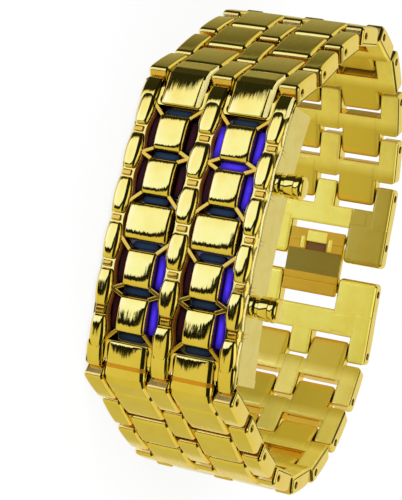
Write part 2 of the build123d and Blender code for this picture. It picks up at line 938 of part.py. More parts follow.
def band_pieces():
    """The links, their pins and the clasp, each at its place in the closed band."""
    pieces = {}
    link = band_link()
    pin = hinge_pin()
    for name, end, bends in (("upper", 1, upper_bends), ("lower", -1, lower_bends)):
        frames = band_frames(hinge_start(end), bends)[0]
        for index, frame in enumerate(frames, start=1):
            pieces[f"{name}_link_{index}"] = frame * link
            pieces[f"{name}_link_pin_{index}"] = frame * pin
    upper, lower, span = clasp_frames()
    pieces["upper_clasp_frame"] = upper * clasp_half(upper_rail_reach, latch_bar_reach)
    pieces["upper_clasp_pins"] = placed([hinge_pin(), hinge_pin(latch_bar_reach)], upper)
    pieces["lower_clasp_frame"] = lower * clasp_half(lower_rail_reach, latch_hinge_reach)
    pieces["lower_clasp_pins"] = placed([hinge_pin(), hinge_pin(latch_hinge_reach)], lower)
    pieces["latch_blade"] = lower * latch_blade(span)
    return pieces


def all_pieces():
    """Every piece, with the origin under the middle of the whole watch."""
    pieces = head_pieces()
    pieces.update(band_pieces())
    boxes = [piece.bounding_box() for piece in pieces.values()]
    x = (min(box.min.X for box in boxes) + max(box.max.X for box in boxes)) / 2
    y = (min(box.min.Y for box in boxes) + max(box.max.Y for box in boxes)) / 2
    z = min(box.min.Z for box in boxes)
    shift = Location((-x, -y, -z))
    return {name: piece.moved(shift) for name, piece in pieces.items()}, shift


def main():
    """Write one file for each piece."""
    os.makedirs("parts", exist_ok=True)
    pieces = all_pieces()[0]
    for name, piece in pieces.items():
        export_step(piece, f"parts/{name}.step")


if __name__ == "__main__":
    main()
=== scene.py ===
"""The visible pieces of a gold bracelet watch: grille head, band of links, clasp and pushers.

Forms are drawn in millimetres in the frame of what carries them: x along the band, y away
from the wrist, z across the band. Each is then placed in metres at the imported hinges.
"""

import json
import math

import bpy
import numpy as np
from bpy.props import FloatProperty, FloatVectorProperty, PointerProperty
from mathutils import Matrix, Vector
from mathutils.geometry import tessellate_polygon


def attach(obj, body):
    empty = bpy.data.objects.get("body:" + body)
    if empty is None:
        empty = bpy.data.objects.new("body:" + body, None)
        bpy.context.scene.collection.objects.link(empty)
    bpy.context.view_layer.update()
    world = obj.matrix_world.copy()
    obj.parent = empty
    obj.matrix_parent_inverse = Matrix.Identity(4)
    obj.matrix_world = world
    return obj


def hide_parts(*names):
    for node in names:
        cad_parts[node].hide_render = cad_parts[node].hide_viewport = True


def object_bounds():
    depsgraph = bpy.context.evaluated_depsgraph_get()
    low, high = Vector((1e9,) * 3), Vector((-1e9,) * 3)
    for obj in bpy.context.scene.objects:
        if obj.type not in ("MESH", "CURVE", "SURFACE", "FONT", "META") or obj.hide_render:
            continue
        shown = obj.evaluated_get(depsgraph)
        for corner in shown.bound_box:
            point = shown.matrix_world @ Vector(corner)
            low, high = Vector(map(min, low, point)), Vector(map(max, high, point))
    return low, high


bl_info = {
    "name": "Bracelet watch",
    "version": (1, 0, 0),
    "blender": (4, 5, 0),
    "location": "3D View > Sidebar > Watch",
    "description": "Builds the visible pieces of a slatted bracelet watch around its packed solids",
    "category": "Object",
}

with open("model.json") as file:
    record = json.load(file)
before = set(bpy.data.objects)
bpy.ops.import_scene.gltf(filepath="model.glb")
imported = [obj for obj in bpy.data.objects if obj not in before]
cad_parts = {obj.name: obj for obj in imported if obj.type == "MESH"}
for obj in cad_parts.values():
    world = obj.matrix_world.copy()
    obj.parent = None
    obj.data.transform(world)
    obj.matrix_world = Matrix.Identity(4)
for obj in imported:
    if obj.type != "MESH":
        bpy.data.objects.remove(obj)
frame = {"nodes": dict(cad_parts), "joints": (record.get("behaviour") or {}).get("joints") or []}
cad_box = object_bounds()

MM = 0.001

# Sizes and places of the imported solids, in millimetres
BAND_WIDTH = 27.0
HALF_WIDTH = BAND_WIDTH / 2
COLUMN_CENTRE = 4.3
COLUMN_WIDE = 7.7
COLUMN_SPLIT = COLUMN_CENTRE / 2
COLUMN_EDGE = COLUMN_SPLIT + COLUMN_WIDE
COLUMN_MIDDLE = COLUMN_SPLIT + COLUMN_WIDE / 2
COLUMN_GAP = 0.16
LINK_PITCH = 9.5
LINK_HALF = 1.8
LINK_REACH = 1.725
SLAT_START = 3.025
PIN_RADIUS = 0.6
FACE_RADIUS = 93.0
ROW_PITCH = 7.64
ROW_GAP = 1.54
BLOCK_HALF = (ROW_PITCH - ROW_GAP) / 2
BLOCK_WIDTH = 5.3
BLOCK_RISE = 0.8
CASE_DEPTH = 8.165
FACE_DEPTH = 1.4
HINGE_DEPTH = 5.2
HINGE_REACH = 25.5
CASE_HALF = 22.8
CAVITY_HALF = 21.45
WELL_HALF = (5 * ROW_PITCH + ROW_GAP) / 2
PUSHER_STATION = 10.0
PUSHER_DEPTH = 3.09
WALL_DROP = 0.7

# Where the latch's pin is on each half of the clasp, from its hinge
LATCH_PIN_AT = {"upper": 9.5, "lower": 11.9}

# Sizes that only the visible pieces have, in millimetres
SLAT_END_ROUND = 1.1
PIN_MOUTH = PIN_RADIUS + 0.1
PIN_MOUTH_DEPTH = 0.6
WELL_REACH = COLUMN_WIDE / 2 + 0.45
LATCH_OPENING = 5.75
CROSS_BAR_END = {"upper": 6.9, "lower": 7.7}
RAIL_END = {"upper": 13.5, "lower": 13.9}
CLASP_SINK = 0.03
NARROW_ROUND_SHARE = 0.7
RAIL_ROUND_SHARE = 0.8

SIDES = ("upper", "lower")
LINKS = 8
HOLE_SIDES = 20
COLUMNS = (-COLUMN_MIDDLE, COLUMN_MIDDLE)
WIDE = [(-COLUMN_EDGE, -COLUMN_SPLIT), (COLUMN_SPLIT, COLUMN_EDGE)]
NARROW = [(-HALF_WIDTH, -COLUMN_EDGE), (-COLUMN_SPLIT, COLUMN_SPLIT), (COLUMN_EDGE, HALF_WIDTH)]
ROWS = [-2, -1, 0, 1, 2]
GAPS = [-2.5, -1.5, -0.5, 0.5, 1.5, 2.5]


class WatchSizes(bpy.types.PropertyGroup):
    """Roundings and reliefs of the visible pieces."""
    slat_round: FloatProperty(name="Slat edge", default=0.85 * MM, unit="LENGTH",
                              description="Radius of the edges of the link slats")
    slat_crown: FloatProperty(name="Slat crown", default=0.2 * MM, unit="LENGTH",
                              description="Height of the crown of the link slats")
    block_round: FloatProperty(name="Block edge", default=0.5 * MM, unit="LENGTH",
                               description="Radius of the edges of the face blocks")
    block_crown: FloatProperty(name="Block crown", default=0.42 * MM, unit="LENGTH",
                               description="Height of the crown of the face blocks")
    bead_rise: FloatProperty(name="Bead height", default=0.9 * MM, unit="LENGTH",
                             description="Height of the beads above the face")
    bead_bulge: FloatProperty(name="Bead bulge", default=0.45 * MM, unit="LENGTH",
                              description="How far a bead swells to each side at its middle")


class WatchFinishes(bpy.types.PropertyGroup):
    """Colours and surface quality of the finishes."""
    gold: FloatVectorProperty(name="Gold", subtype="COLOR", size=3, default=(0.90, 0.73, 0.14),
                              description="Colour of the polished plating")
    side_gold: FloatVectorProperty(name="Side gold", subtype="COLOR", size=3,
                                   default=(0.78, 0.69, 0.21),
                                   description="Colour of the flat sides of the case")
    polish: FloatProperty(name="Roughness", default=0.07, subtype="FACTOR",
                          description="Roughness of the polished plating")
    lit: FloatVectorProperty(name="Lit bars", subtype="COLOR", size=3, default=(0.07, 0.022, 0.92),
                             description="Colour of the lit bars along their middle")
    lit_rim: FloatVectorProperty(name="Lit rims", subtype="COLOR", size=3,
                                 default=(0.007, 0.002, 0.19),
                                 description="Colour of the lit bars at their rims")
    lit_strength: FloatProperty(name="Lit strength", default=1.0,
                                description="Brightness of the lit bars")


def size_of(name):
    """A size from the panel, in millimetres."""
    return getattr(bpy.context.scene.watch_sizes, name) / MM


def finishes():
    """The colours and surface quality from the panel."""
    return bpy.context.scene.watch_finishes


# Frames

def joint_place(name):
    """Where a joint is, in metres."""
    for joint in frame["joints"]:
        if joint["name"] == name:
            return Vector(joint["pos_m"])
    raise RuntimeError(f"the frame has no joint {name}")


def frame_of(origin, x_dir, z_dir):
    """A frame from its origin, its x direction and its z direction."""
    x = Vector(x_dir).normalized()
    z = Vector(z_dir).normalized()
    y = z.cross(x)
    turn = Matrix((x, y, z)).transposed().to_4x4()
    return Matrix.Translation(origin) @ turn


def head_frame():
    """The frame on the middle of the face of the head."""
    upper = joint_place("upper_link_1_hinge")
    lower = joint_place("lower_link_1_hinge")
    middle = (upper + lower) / 2 + Vector((0, -HINGE_DEPTH * MM, 0))
    return frame_of(middle, (-1, 0, 0), (0, 0, 1))


def hinge_names(side):
    """The hinges of one side of the band, from the head to the clasp."""
    links = [f"{side}_link_{index}_hinge" for index in range(1, LINKS + 1)]
    return [*links, f"{side}_clasp_hinge"]


def link_frames(side):
    """The frame of each link of one side of the band, at its own hinge."""
    across = (0, 0, 1) if side == "upper" else (0, 0, -1)
    places = [joint_place(name) for name in hinge_names(side)]
    return [frame_of(here, there - here, across) for here, there in zip(places, places[1:])]


def clasp_frame(side):
    """The frame of one half of the clasp, at its own hinge."""
    other = "lower" if side == "upper" else "upper"
    across = (0, 0, 1) if side == "upper" else (0, 0, -1)
    here = joint_place(f"{side}_clasp_hinge")
    there = joint_place(f"{other}_clasp_hinge")
    return frame_of(here, there - here, across)


def face_at(station):
    """The frame on the arc of the face, in millimetres, at a distance along it."""
    drop = Matrix.Translation((0, -FACE_RADIUS, 0))
    return drop @ Matrix.Rotation(-station / FACE_RADIUS, 4, "Z") @ drop.inverted()


def arc_y(x, depth):
    """The y of a layer of the head at a place along the band."""
    return math.sqrt((FACE_RADIUS - depth) ** 2 - x * x) - FACE_RADIUS


def arc_line(start, stop, depth, count):
    """Points along a layer of the head, from one place along the band to another."""
    return [(x, arc_y(x, depth)) for x in np.linspace(start, stop, count)]


def case_side(low_z, high_z):
    """The side of the case that a narrow column lies on, -1 or 1, and 0 for the middle one."""
    return (high_z >= HALF_WIDTH) - (low_z <= -HALF_WIDTH)


def trimmed(low_z, high_z, outer, inner):
    """A narrow column less one margin at the side of the case and another beside the blocks."""
    side = case_side(low_z, high_z)
    return low_z + (outer if side < 0 else inner), high_z - (outer if side > 0 else inner)


# Forms

SHARP_ANGLE = math.radians(38)


class Form:
    """Faces gathered in millimetres, which become one piece."""

    def __init__(self):
        self.points = []
        self.faces = []
        self.marks = []

    def add(self, shape, place=None, mark=0.0):
        """Takes in a shape, placed by a matrix in millimetres. A mark is kept on its points."""
        points, faces = shape
        start = len(self.points)
        for index, point in enumerate(points):
            moved = place @ Vector(point) if place is not None else Vector(point)
            self.points.append(moved)
            self.marks.append(mark[index] if isinstance(mark, (list, np.ndarray)) else mark)
        self.faces += [tuple(start + corner for corner in face) for face in faces]

    def piece(self, name, place, body, slot, material, replaces=(), others=()):
        """The finished piece, placed in metres and riding on its body.

        The others are (test, material) pairs for the faces whose normal and middle, both in
        the frame of the piece, pass the test. A later pair goes before an earlier one.
        """
        mesh = bpy.data.meshes.new(name)
        world = [place @ (point * MM) for point in self.points]
        mesh.from_pydata([tuple(point) for point in world], [], self.faces)
        local = mesh.attributes.new("drawn_at", "FLOAT_VECTOR", "POINT")
        local.data.foreach_set("vector", np.array([tuple(p) for p in self.points]).ravel())
        mark = mesh.attributes.new("mark", "FLOAT", "POINT")
        mark.data.foreach_set("value", np.array(self.marks, dtype=float))
        along = place.to_3x3() @ Vector((1, 0, 0))
        lengthwise = mesh.attributes.new("lengthwise", "FLOAT_VECTOR", "POINT")
        lengthwise.data.foreach_set("vector", np.tile(np.array(along), len(world)))
        mesh.validate()
        mesh.polygons.foreach_set("use_smooth", [True] * len(mesh.polygons))
        mesh.set_sharp_from_angle(angle=SHARP_ANGLE)
        mesh.update()
        item = bpy.data.objects.new(name, mesh)
        bpy.context.scene.collection.objects.link(item)
        mesh.materials.append(material)
        back = place.inverted()
        for number, (test, other) in enumerate(others, start=1):
            mesh.materials.append(other)
            for polygon in mesh.polygons:
                if test(back.to_3x3() @ polygon.normal, back @ polygon.center / MM):
                    polygon.material_index = number
        weights = item.modifiers.new("even_shading", "WEIGHTED_NORMAL")
        weights.keep_sharp = True
        weights.weight = 50
        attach(item, body)
        if replaces:
            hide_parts(*replaces)
        return item


def grid_lines(low, high, radius, steps, extra):
    """The lines of a rounded box along one axis: an arc's worth at each end, and extra ones."""
    arc = [radius * math.tan(math.pi / 4 * k / steps) for k in range(steps + 1)]
    lines = [low + radius - t for t in reversed(arc)] + [high - radius + t for t in arc]
    lines += [value for value in extra if low + radius < value < high - radius]
    return np.array(sorted(set(round(value, 6) for value in lines)))


def cushion(low, high, radius, steps=3, extra=((), (), ()), warp=None):
    """A box with rounded edges. A warp moves its points afterwards."""
    lines = [grid_lines(low[axis], high[axis], radius, steps, extra[axis]) for axis in range(3)]
    counts = [len(line) for line in lines]
    places = {}
    points = []
    inner_low = np.array(low, float) + radius
    inner_high = np.array(high, float) - radius

    def corner(*index):
        if index not in places:
            point = np.array([lines[axis][index[axis]] for axis in range(3)])
            centre = np.clip(point, inner_low, inner_high)
            out = point - centre
            length = np.linalg.norm(out)
            point = centre + out * (radius / length) if length > 0 else point
            places[index] = len(points)
            points.append(point)
        return places[index]

    faces = []
    for axis in range(3):
        first, second = (axis + 1) % 3, (axis + 2) % 3
        for end in (0, counts[axis] - 1):
            for i in range(counts[first] - 1):
                for j in range(counts[second] - 1):
                    loop = []
                    for di, dj in ((0, 0), (1, 0), (1, 1), (0, 1)):
                        index = [0, 0, 0]
                        index[axis], index[first], index[second] = end, i + di, j + dj
                        loop.append(corner(*index))
                    faces.append(loop if end else loop[::-1])
    points = np.array(points)
    if warp:
        points = np.array([warp(*point) for point in points])
    return points, faces


def crowned(low, high, height, along, across):
    """A warp that lifts the top of a box into a crown, with its fall along and across."""
    middle = [(low[axis] + high[axis]) / 2 for axis in range(3)]
    half = [(high[axis] - low[axis]) / 2 for axis in range(3)]

    def warp(x, y, z):
        share = max(0.0, (y - low[1]) / (high[1] - low[1]))
        sag = along * ((x - middle[0]) / half[0]) ** 2 + across * ((z - middle[2]) / half[2]) ** 2
        return x, y + height * (1 - sag) * share, z
    return warp


def spread(low, high, count):
    """Evenly spread values between two limits, without the limits."""
    return [low + (high - low) * k / (count + 1) for k in range(1, count + 1)]


def inner_lines(low, high, margin, along, across):
    """Extra lines of a cushion along its x and its z, spread within a margin."""
    return (spread(low[0] + margin, high[0] - margin, along), (),
            spread(low[2] + margin, high[2] - margin, across))


def rounded(outline, radii, steps=4):
    """An anticlockwise outline with a radius at each corner, held to half of the edges there."""
    nearly_half = 0.49
    straight = math.pi / 2 - 0.01
    count = len(outline)
    loop = []
    for index, radius in enumerate(radii):
        here = Vector(outline[index])
        back = Vector(outline[index - 1]) - here
        ahead = Vector(outline[(index + 1) % count]) - here
        half = back.angle(ahead) / 2
        if radius <= 0 or half > straight:
            loop.append(here)
            continue
        cut = min(radius / math.tan(half), nearly_half * min(back.length, ahead.length))
        reach = cut * math.tan(half) / math.sin(half)
        start = here + back.normalized() * cut
        centre = here + (back.normalized() + ahead.normalized()).normalized() * reach
        first = start - centre
        last = here + ahead.normalized() * cut - centre
        swing = first.angle_signed(last)
        for k in range(steps + 1):
            turn = Matrix.Rotation(-swing * k / steps, 2)
            loop.append(centre + turn @ first)
    return [tuple(point) for point in loop]


def inset(loop, distance):
    """An anticlockwise loop moved inwards, held back where a corner is very sharp."""
    sharpest = 0.35
    count = len(loop)
    moved = []
    for index in range(count):
        here = Vector(loop[index])
        back = (here - Vector(loop[index - 1])).normalized()
        ahead = (Vector(loop[(index + 1) % count]) - here).normalized()
        ahead_side = Vector((-ahead.y, ahead.x))
        side = (Vector((-back.y, back.x)) + ahead_side).normalized()
        share = max(sharpest, side.dot(ahead_side))
        moved.append(tuple(here + side * (distance / share)))
    return moved


def ring_of(x, y, radius, sides):
    """A clockwise ring of points, for a hole."""
    return [(x + radius * math.cos(-2 * math.pi * k / sides),
             y + radius * math.sin(-2 * math.pi * k / sides)) for k in range(sides)]


def slab(outline, low, high, rim, steps=3, holes=(), levels=0):
    """A flat form between two z values with rounded rims and some levels between them.

    A hole is (x, y, radius, depth), and is sunk from both faces.
    """
    points = []
    faces = []
    count = len(outline)

    def add_ring(loop, z):
        start = len(points)
        points.extend((x, y, z) for x, y in loop)
        return start

    rings = []
    for k in range(steps, -1, -1):
        angle = math.pi / 2 * k / steps
        rings.append(add_ring(inset(outline, rim * (1 - math.cos(angle))),
                              low + rim * (1 - math.sin(angle))))
    rings += [add_ring(outline, z) for z in spread(low + rim, high - rim, levels)]
    for k in range(steps + 1):
        angle = math.pi / 2 * k / steps
        rings.append(add_ring(inset(outline, rim * (1 - math.cos(angle))),
                              high - rim * (1 - math.sin(angle))))
    for first, second in zip(rings, rings[1:]):
        for i in range(count):
            j = (i + 1) % count
            faces.append((first + i, first + j, second + j, second + i))
    for ring, z, upward in ((rings[0], low, False), (rings[-1], high, True)):
        loops = [[Vector(points[ring + i]) for i in range(count)]]
        numbers = list(range(ring, ring + count))
        for x, y, radius, depth in holes:
            hole = ring_of(x, y, radius, HOLE_SIDES)
            mouth = add_ring(hole, z)
            floor = add_ring(hole, z - depth if upward else z + depth)
            loops.append([Vector(points[mouth + i]) for i in range(HOLE_SIDES)])
            numbers += list(range(mouth, mouth + HOLE_SIDES))
            for i in range(HOLE_SIDES):
                j = (i + 1) % HOLE_SIDES
                wall = (mouth + i, mouth + j, floor + j, floor + i)
                faces.append(wall if upward else wall[::-1])
            end = tuple(range(floor, floor + HOLE_SIDES))
            faces.append(end[::-1] if upward else end)
        if holes:
            for triangle in tessellate_polygon(loops):
                corners = [numbers[index] for index in triangle]
                a, b, c = (Vector(points[index]) for index in corners)
                facing = (b - a).cross(c - a).z > 0
                faces.append(tuple(corners) if facing == upward else tuple(corners[::-1]))
        else:
            faces.append(tuple(numbers) if upward else tuple(numbers[::-1]))
    return points, faces


def lathe(profile, sides):
    """A form turned about z from (radius, z) pairs. A profile that doesn't close gets flat ends."""
    points = []
    faces = []
    for radius, z in profile:
        for k in range(sides):
            angle = 2 * math.pi * k / sides
            points.append((radius * math.cos(angle), radius * math.sin(angle), z))
    for level in range(len(profile) - 1):
        for k in range(sides):
            j = (k + 1) % sides
            base = level * sides
            faces.append((base + k, base + j, base + sides + j, base + sides + k))
    if profile[0] != profile[-1]:
        faces.append(tuple(range(sides))[::-1])
        faces.append(tuple(range(len(points) - sides, len(points))))
    return points, faces


# Finishes

class Number:
    """An output of a node. Sums, differences, products and powers of it add Math nodes."""

    def __init__(self, finish, socket):
        self.finish = finish
        self.socket = socket

    def sum_with(self, operation, first, second):
        """The socket of a new Math node."""
        return self.finish.node("ShaderNodeMath", {"operation": operation}, {0: first, 1: second})

    def __add__(self, other):
        return self.sum_with("ADD", self, other)

    def __radd__(self, other):
        return self.sum_with("ADD", other, self)

    def __sub__(self, other):
        return self.sum_with("SUBTRACT", self, other)

    def __rsub__(self, other):
        return self.sum_with("SUBTRACT", other, self)

    def __mul__(self, other):
        return self.sum_with("MULTIPLY", self, other)

    def __rmul__(self, other):
        return self.sum_with("MULTIPLY", other, self)

    def __pow__(self, other):
        return self.sum_with("POWER", self, other)

    def __rpow__(self, other):
        return self.sum_with("POWER", other, self)


class Nodes:
    """The nodes of one material or of the world."""

    def __init__(self, owner):
        owner.use_nodes = True
        self.tree = owner.node_tree
        self.tree.nodes.clear()

    def feed(self, socket, value):
        """Links a socket to another node's output, or sets its value."""
        if isinstance(value, Number):
            self.tree.links.new(value.socket, socket)
        elif isinstance(value, (tuple, list)) and socket.type == "RGBA":
            socket.default_value = (*value[:3], 1.0)
        else:
            socket.default_value = value

    def node(self, kind, settings=None, inputs=None, output=0):
        """A node, with its settings made first and its sockets fed next."""
        node = self.tree.nodes.new(kind)
        for name, value in (settings or {}).items():
            if name == "stops":
                while len(node.color_ramp.elements) < len(value):
                    node.color_ramp.elements.new(1.0)
                for element, (place, colour) in zip(node.color_ramp.elements, value):
                    element.position = place
                    element.color = (*colour, 1.0)
            else:
                setattr(node, name, value)
        for name, value in (inputs or {}).items():
            self.feed(node.inputs[name], value)
        return Number(self, node.outputs[output]) if len(node.outputs) else None

    def scaled(self, vector, scale):
        """A vector with each of its parts multiplied."""
        return self.node("ShaderNodeVectorMath", {"operation": "MULTIPLY"}, {0: vector, 1: scale})

    def noise(self, vector, scale, detail=2.0, roughness=0.5):
        """Soft patches, whose scale is how many there are in a millimetre."""
        return self.node("ShaderNodeTexNoise", {"noise_dimensions": "3D"},
                         {"Vector": vector, "Scale": scale, "Detail": detail,
                          "Roughness": roughness}, output="Fac")

    def spread(self, value, low, high, to_low=0.0, to_high=1.0):
        """A value stretched from one range to another, and held within it."""
        return self.node("ShaderNodeMapRange", {"clamp": True},
                         {"Value": value, "From Min": low, "From Max": high,
                          "To Min": to_low, "To Max": to_high})

    def between(self, value, low, high, soft):
        """1 between two limits and 0 outside them, with a soft step at each."""
        return (self.spread(value, low - soft, low + soft)
                * self.spread(value, high - soft, high + soft, 1.0, 0.0))

    def mix(self, share, first, second):
        """A colour between two colours."""
        return self.node("ShaderNodeMix", {"data_type": "RGBA"},
                         {"Factor": share, 6: first, 7: second}, output=2)


class Finish(Nodes):
    """A material with one shader and what shapes it."""

    def __init__(self, name, **sockets):
        self.material = bpy.data.materials.new(name)
        super().__init__(self.material)
        shader = self.node("ShaderNodeBsdfPrincipled")
        self.node("ShaderNodeOutputMaterial", None, {"Surface": shader})
        self.shader = shader.socket.node
        self.set(**sockets)

    def set(self, **sockets):
        """Sets sockets of the shader, named with underscores for spaces."""
        for name, value in sockets.items():
            self.feed(self.shader.inputs[name.replace("_", " ")], value)

    def place(self):
        """Where a point was drawn, in millimetres in the frame of its piece."""
        return self.node("ShaderNodeAttribute", {"attribute_name": "drawn_at"}, output="Vector")

    def mark(self):
        """The mark of a point: 1 along the middle of a light bar and 0 at its rim."""
        return self.node("ShaderNodeAttribute", {"attribute_name": "mark"}, output="Fac")

    def solid_place(self):
        """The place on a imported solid, in millimetres."""
        spot = self.node("ShaderNodeTexCoord", output="Object")
        return self.scaled(spot, (1 / MM, 1 / MM, 1 / MM))

    def bump(self, height, strength, distance, leaned=None):
        """The normal, or one that already leans, raised by a height."""
        inputs = {"Height": height, "Strength": strength, "Distance": distance}
        if leaned is not None:
            inputs["Normal"] = leaned
        return self.node("ShaderNodeBump", None, inputs)

    def streaked(self, vector, amount):
        """The normal, leaned along the piece by fine polishing streaks that run along it."""
        fine = self.noise(self.scaled(vector, (0.35, 0.35, 4.2)), scale=1.0, roughness=0.6)
        lean = self.spread(fine, 0.3, 0.7, -amount, amount)
        along = self.node("ShaderNodeAttribute", {"attribute_name": "lengthwise"}, output="Vector")
        along = self.node("ShaderNodeVectorTransform",
                          {"vector_type": "VECTOR", "convert_from": "OBJECT",
                           "convert_to": "WORLD"}, {"Vector": along})
        push = self.node("ShaderNodeVectorMath", {"operation": "SCALE"},
                         {0: along, "Scale": lean})
        normal = self.node("ShaderNodeNewGeometry", output="Normal")
        total = self.node("ShaderNodeVectorMath", {"operation": "ADD"}, {0: normal, 1: push})
        return self.node("ShaderNodeVectorMath", {"operation": "NORMALIZE"}, {0: total})


made_finishes = {}


def finish_for(name, make, *values, **settings):
    """The material of a finish, made once and then shared."""
    if name not in made_finishes:
        made_finishes[name] = make(name, *values, **settings).material
    return made_finishes[name]


def polished_gold(name, colour, wave, streak=0.0, polish=None, uneven=1.0):
    """Mirror-polished plating: faint smears, fine wear and a slightly warmer tone in patches."""
    finish = Finish(name, Metallic=1.0)
    at = finish.place()
    patches = finish.spread(finish.noise(at, scale=0.35, detail=3.0), 0.4, 0.75)
    warm = (colour[0] * 0.97, colour[1] * 0.9, colour[2] * 0.7)
    finish.set(Base_Color=finish.mix(patches, colour, warm))
    smears = finish.noise(finish.scaled(at, (0.6, 0.6, 1.4)), scale=1.1, detail=5.0,
                          roughness=0.65)
    base = polish if polish is not None else finishes().polish
    finish.set(Roughness=finish.spread(smears, 0.35, 0.8, base * (1 - 0.4 * uneven),
                                       base * (1 + uneven)))
    if streak:
        waves = finish.noise(at, scale=1.3)
        finish.set(Normal=finish.bump(waves, 1.0, wave * MM, finish.streaked(at, streak)))
    else:
        finish.set(Normal=finish.bump(finish.noise(at, scale=0.9), 1.0, wave * MM))
    return finish


def dull_gold(name, colour, metallic):
    """Rougher, less metallic plating with fine brushed streaks, so that its colour shows more; the
    colours it is given carry painted light, shade and reflections.
    """
    finish = polished_gold(name, colour, wave=0.003, streak=0.008, polish=0.34, uneven=0.25)
    finish.set(Metallic=metallic)
    return finish


def gold():
    """Polished plating without streaks, for the face bars and the pushers."""
    return finish_for("polished_gold", polished_gold, finishes().gold[:], wave=0.004)


def face_gold():
    """Polished plating with the strong streaks of the blocks and beads."""
    return finish_for("face_gold", polished_gold, finishes().gold[:], wave=0.004, streak=0.03)


def side_gold():
    """The paler, softer plating of the case's sides."""
    return finish_for("side_gold", polished_gold, finishes().side_gold[:], wave=0.003,
                      polish=0.16)


def link_gold():
    """Polished plating with fine streaks along the band."""
    return finish_for("link_gold", polished_gold, finishes().gold[:], wave=0.004,
                      streak=0.012, polish=0.1)


def inner_gold():
    """Painted reflection and shade: a warmer, darker orange gold on the sides of slats and the
    faces that meet each other, for gold mirrored in gold between them.
    """
    return finish_for("inner_gold", polished_gold, (0.86, 0.60, 0.12), wave=0.002, polish=0.22,
                      uneven=0.4)


def rib_gold():
    """Painted shade: a darker, warmer gold on the ribs and on the pads between the beads, for the
    shade and gold reflections down between blocks and beads.
    """
    return finish_for("rib_gold", polished_gold, (0.74, 0.47, 0.05), wave=0.003, polish=0.16,
                      uneven=0.4)


def well_gold():
    """Painted shade: darker, duller plating on the walls of the wells, for the shade down in them.
    """
    return finish_for("well_gold", dull_gold, (0.36, 0.11, 0.02), 0.4)


def bevel_gold():
    """Painted highlight: a paler, satin gold on the edges of the upper end blocks and beside the
    beads.
    """
    return finish_for("bevel_gold", dull_gold, (1.0, 0.90, 0.38), 0.35)


def crease_gold():
    """Painted shade: a warm, darker tone in the fold of the lower end blocks."""
    return finish_for("crease_gold", dull_gold, (0.74, 0.36, 0.015), 0.75)


def latch_gold():
    """Painted shade: a darker olive tone, on brushed plating, inside the latch."""
    return finish_for("latch_gold", dull_gold, (0.33, 0.235, 0.015), 0.72)


def roll_gold():
    """Painted reflection: a warm orange, for gold mirrored in gold, on the latch's rolled edge."""
    return finish_for("roll_gold", dull_gold, (0.74, 0.44, 0.015), 0.55)


def slot_gold():
    """Painted shadow: the dark floor of the latch's slot."""
    return finish_for("slot_gold", dull_gold, (0.22, 0.095, 0.002), 0.5)


def clasp_satin():
    """Painted light: a paler gold for the lit inner faces of the clasp frames and the latch's tab.
    """
    return finish_for("clasp_satin", dull_gold, (1.0, 0.90, 0.14), 0.4)


def shaded_satin():
    """Painted shade: the satin plating darkened to olive on the rail that lies in the shade of the
    band.
    """
    return finish_for("shaded_satin", dull_gold, (0.62, 0.48, 0.05), 0.6)


def satin_gold(name):
    """The brushed plating against the wrist, with painted reflections: from pale to olive and warm
    along a slat, and soft patches.
    """
    # Painted reflections: the tones along a slat and the patch tone stand in for what the slat
    # mirrors
    pale = (1.0, 0.85, 0.16)
    olive = (0.74, 0.56, 0.05)
    warm = (0.88, 0.54, 0.03)
    patch_tone = (0.72, 0.52, 0.06)
    start, pale_end, warm_start, end = 3.7, 5.6, 9.3, 10.9
    finish = dull_gold(name, olive, 0.48)
    at = finish.place()
    along = finish.node("ShaderNodeSeparateXYZ", None, {0: at}, output="X")
    stops = [((x - start) / (end - start), colour) for x, colour in (
        (start, pale), (pale_end, olive), (warm_start, olive), (end, warm))]
    tone = finish.node("ShaderNodeValToRGB", {"stops": stops},
                       {"Fac": finish.spread(along, start, end)}, output="Color")
    patches = finish.spread(finish.noise(at, scale=0.35, detail=3.0), 0.4, 0.75, 0.0, 0.3)
    finish.set(Base_Color=finish.mix(patches, tone, patch_tone))
    return finish


def solid_metal(name, colour, roughness, scratch=0.3):
    """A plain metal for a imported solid: drawn or brushed, with fine scratches."""
    finish = Finish(name, Metallic=1.0)
    at = finish.solid_place()
    lines = finish.noise(finish.scaled(at, (0.6, 9.0, 9.0)), scale=1.0, detail=3.0)
    patch_tone = tuple(value * 0.8 for value in colour)
    finish.set(Base_Color=finish.mix(finish.noise(at, scale=0.5, detail=3.0), colour, patch_tone))
    finish.set(Roughness=finish.spread(lines, 0.3, 0.75, roughness * 0.7, roughness * 1.5))
    finish.set(Normal=finish.bump(lines, scratch, 0.03 * MM))
    return finish


def moulded(name, colour, roughness, grain=0.4, coat=0.0):
    """A moulded or printed surface with a fine grain and uneven tone."""
    finish = Finish(name, Coat_Weight=coat, Coat_Roughness=0.08)
    at = finish.solid_place()
    fine = finish.noise(at, scale=9.0, detail=3.0)
    patches = finish.spread(finish.noise(at, scale=0.6, detail=3.0), 0.3, 0.7)
    darker = tuple(value * 0.7 for value in colour)
    finish.set(Base_Color=finish.mix(patches, colour, darker))
    finish.set(Roughness=finish.spread(fine, 0.3, 0.7, roughness * 0.85, roughness * 1.15))
    finish.set(Normal=finish.bump(fine, grain, 0.02 * MM))
    return finish


def lit_plastic(name):
    """A clear bar lit from below: brightest along its middle, dim at its rim."""
    finish = Finish(name, Roughness=0.3, Specular_IOR_Level=0.1)
    at = finish.place()
    uneven = finish.spread(finish.noise(at, scale=0.7), 0.3, 0.7, 0.65, 1.1)
    glow = (finish.mark() ** 2.4) * uneven
    finish.set(Base_Color=(0.02, 0.01, 0.09),
               Emission_Color=finish.mix(glow, finishes().lit_rim[:], finishes().lit[:]),
               Emission_Strength=finishes().lit_strength)
    finish.set(Normal=finish.bump(finish.noise(at, scale=1.2), 0.3, 0.1 * MM))
    return finish


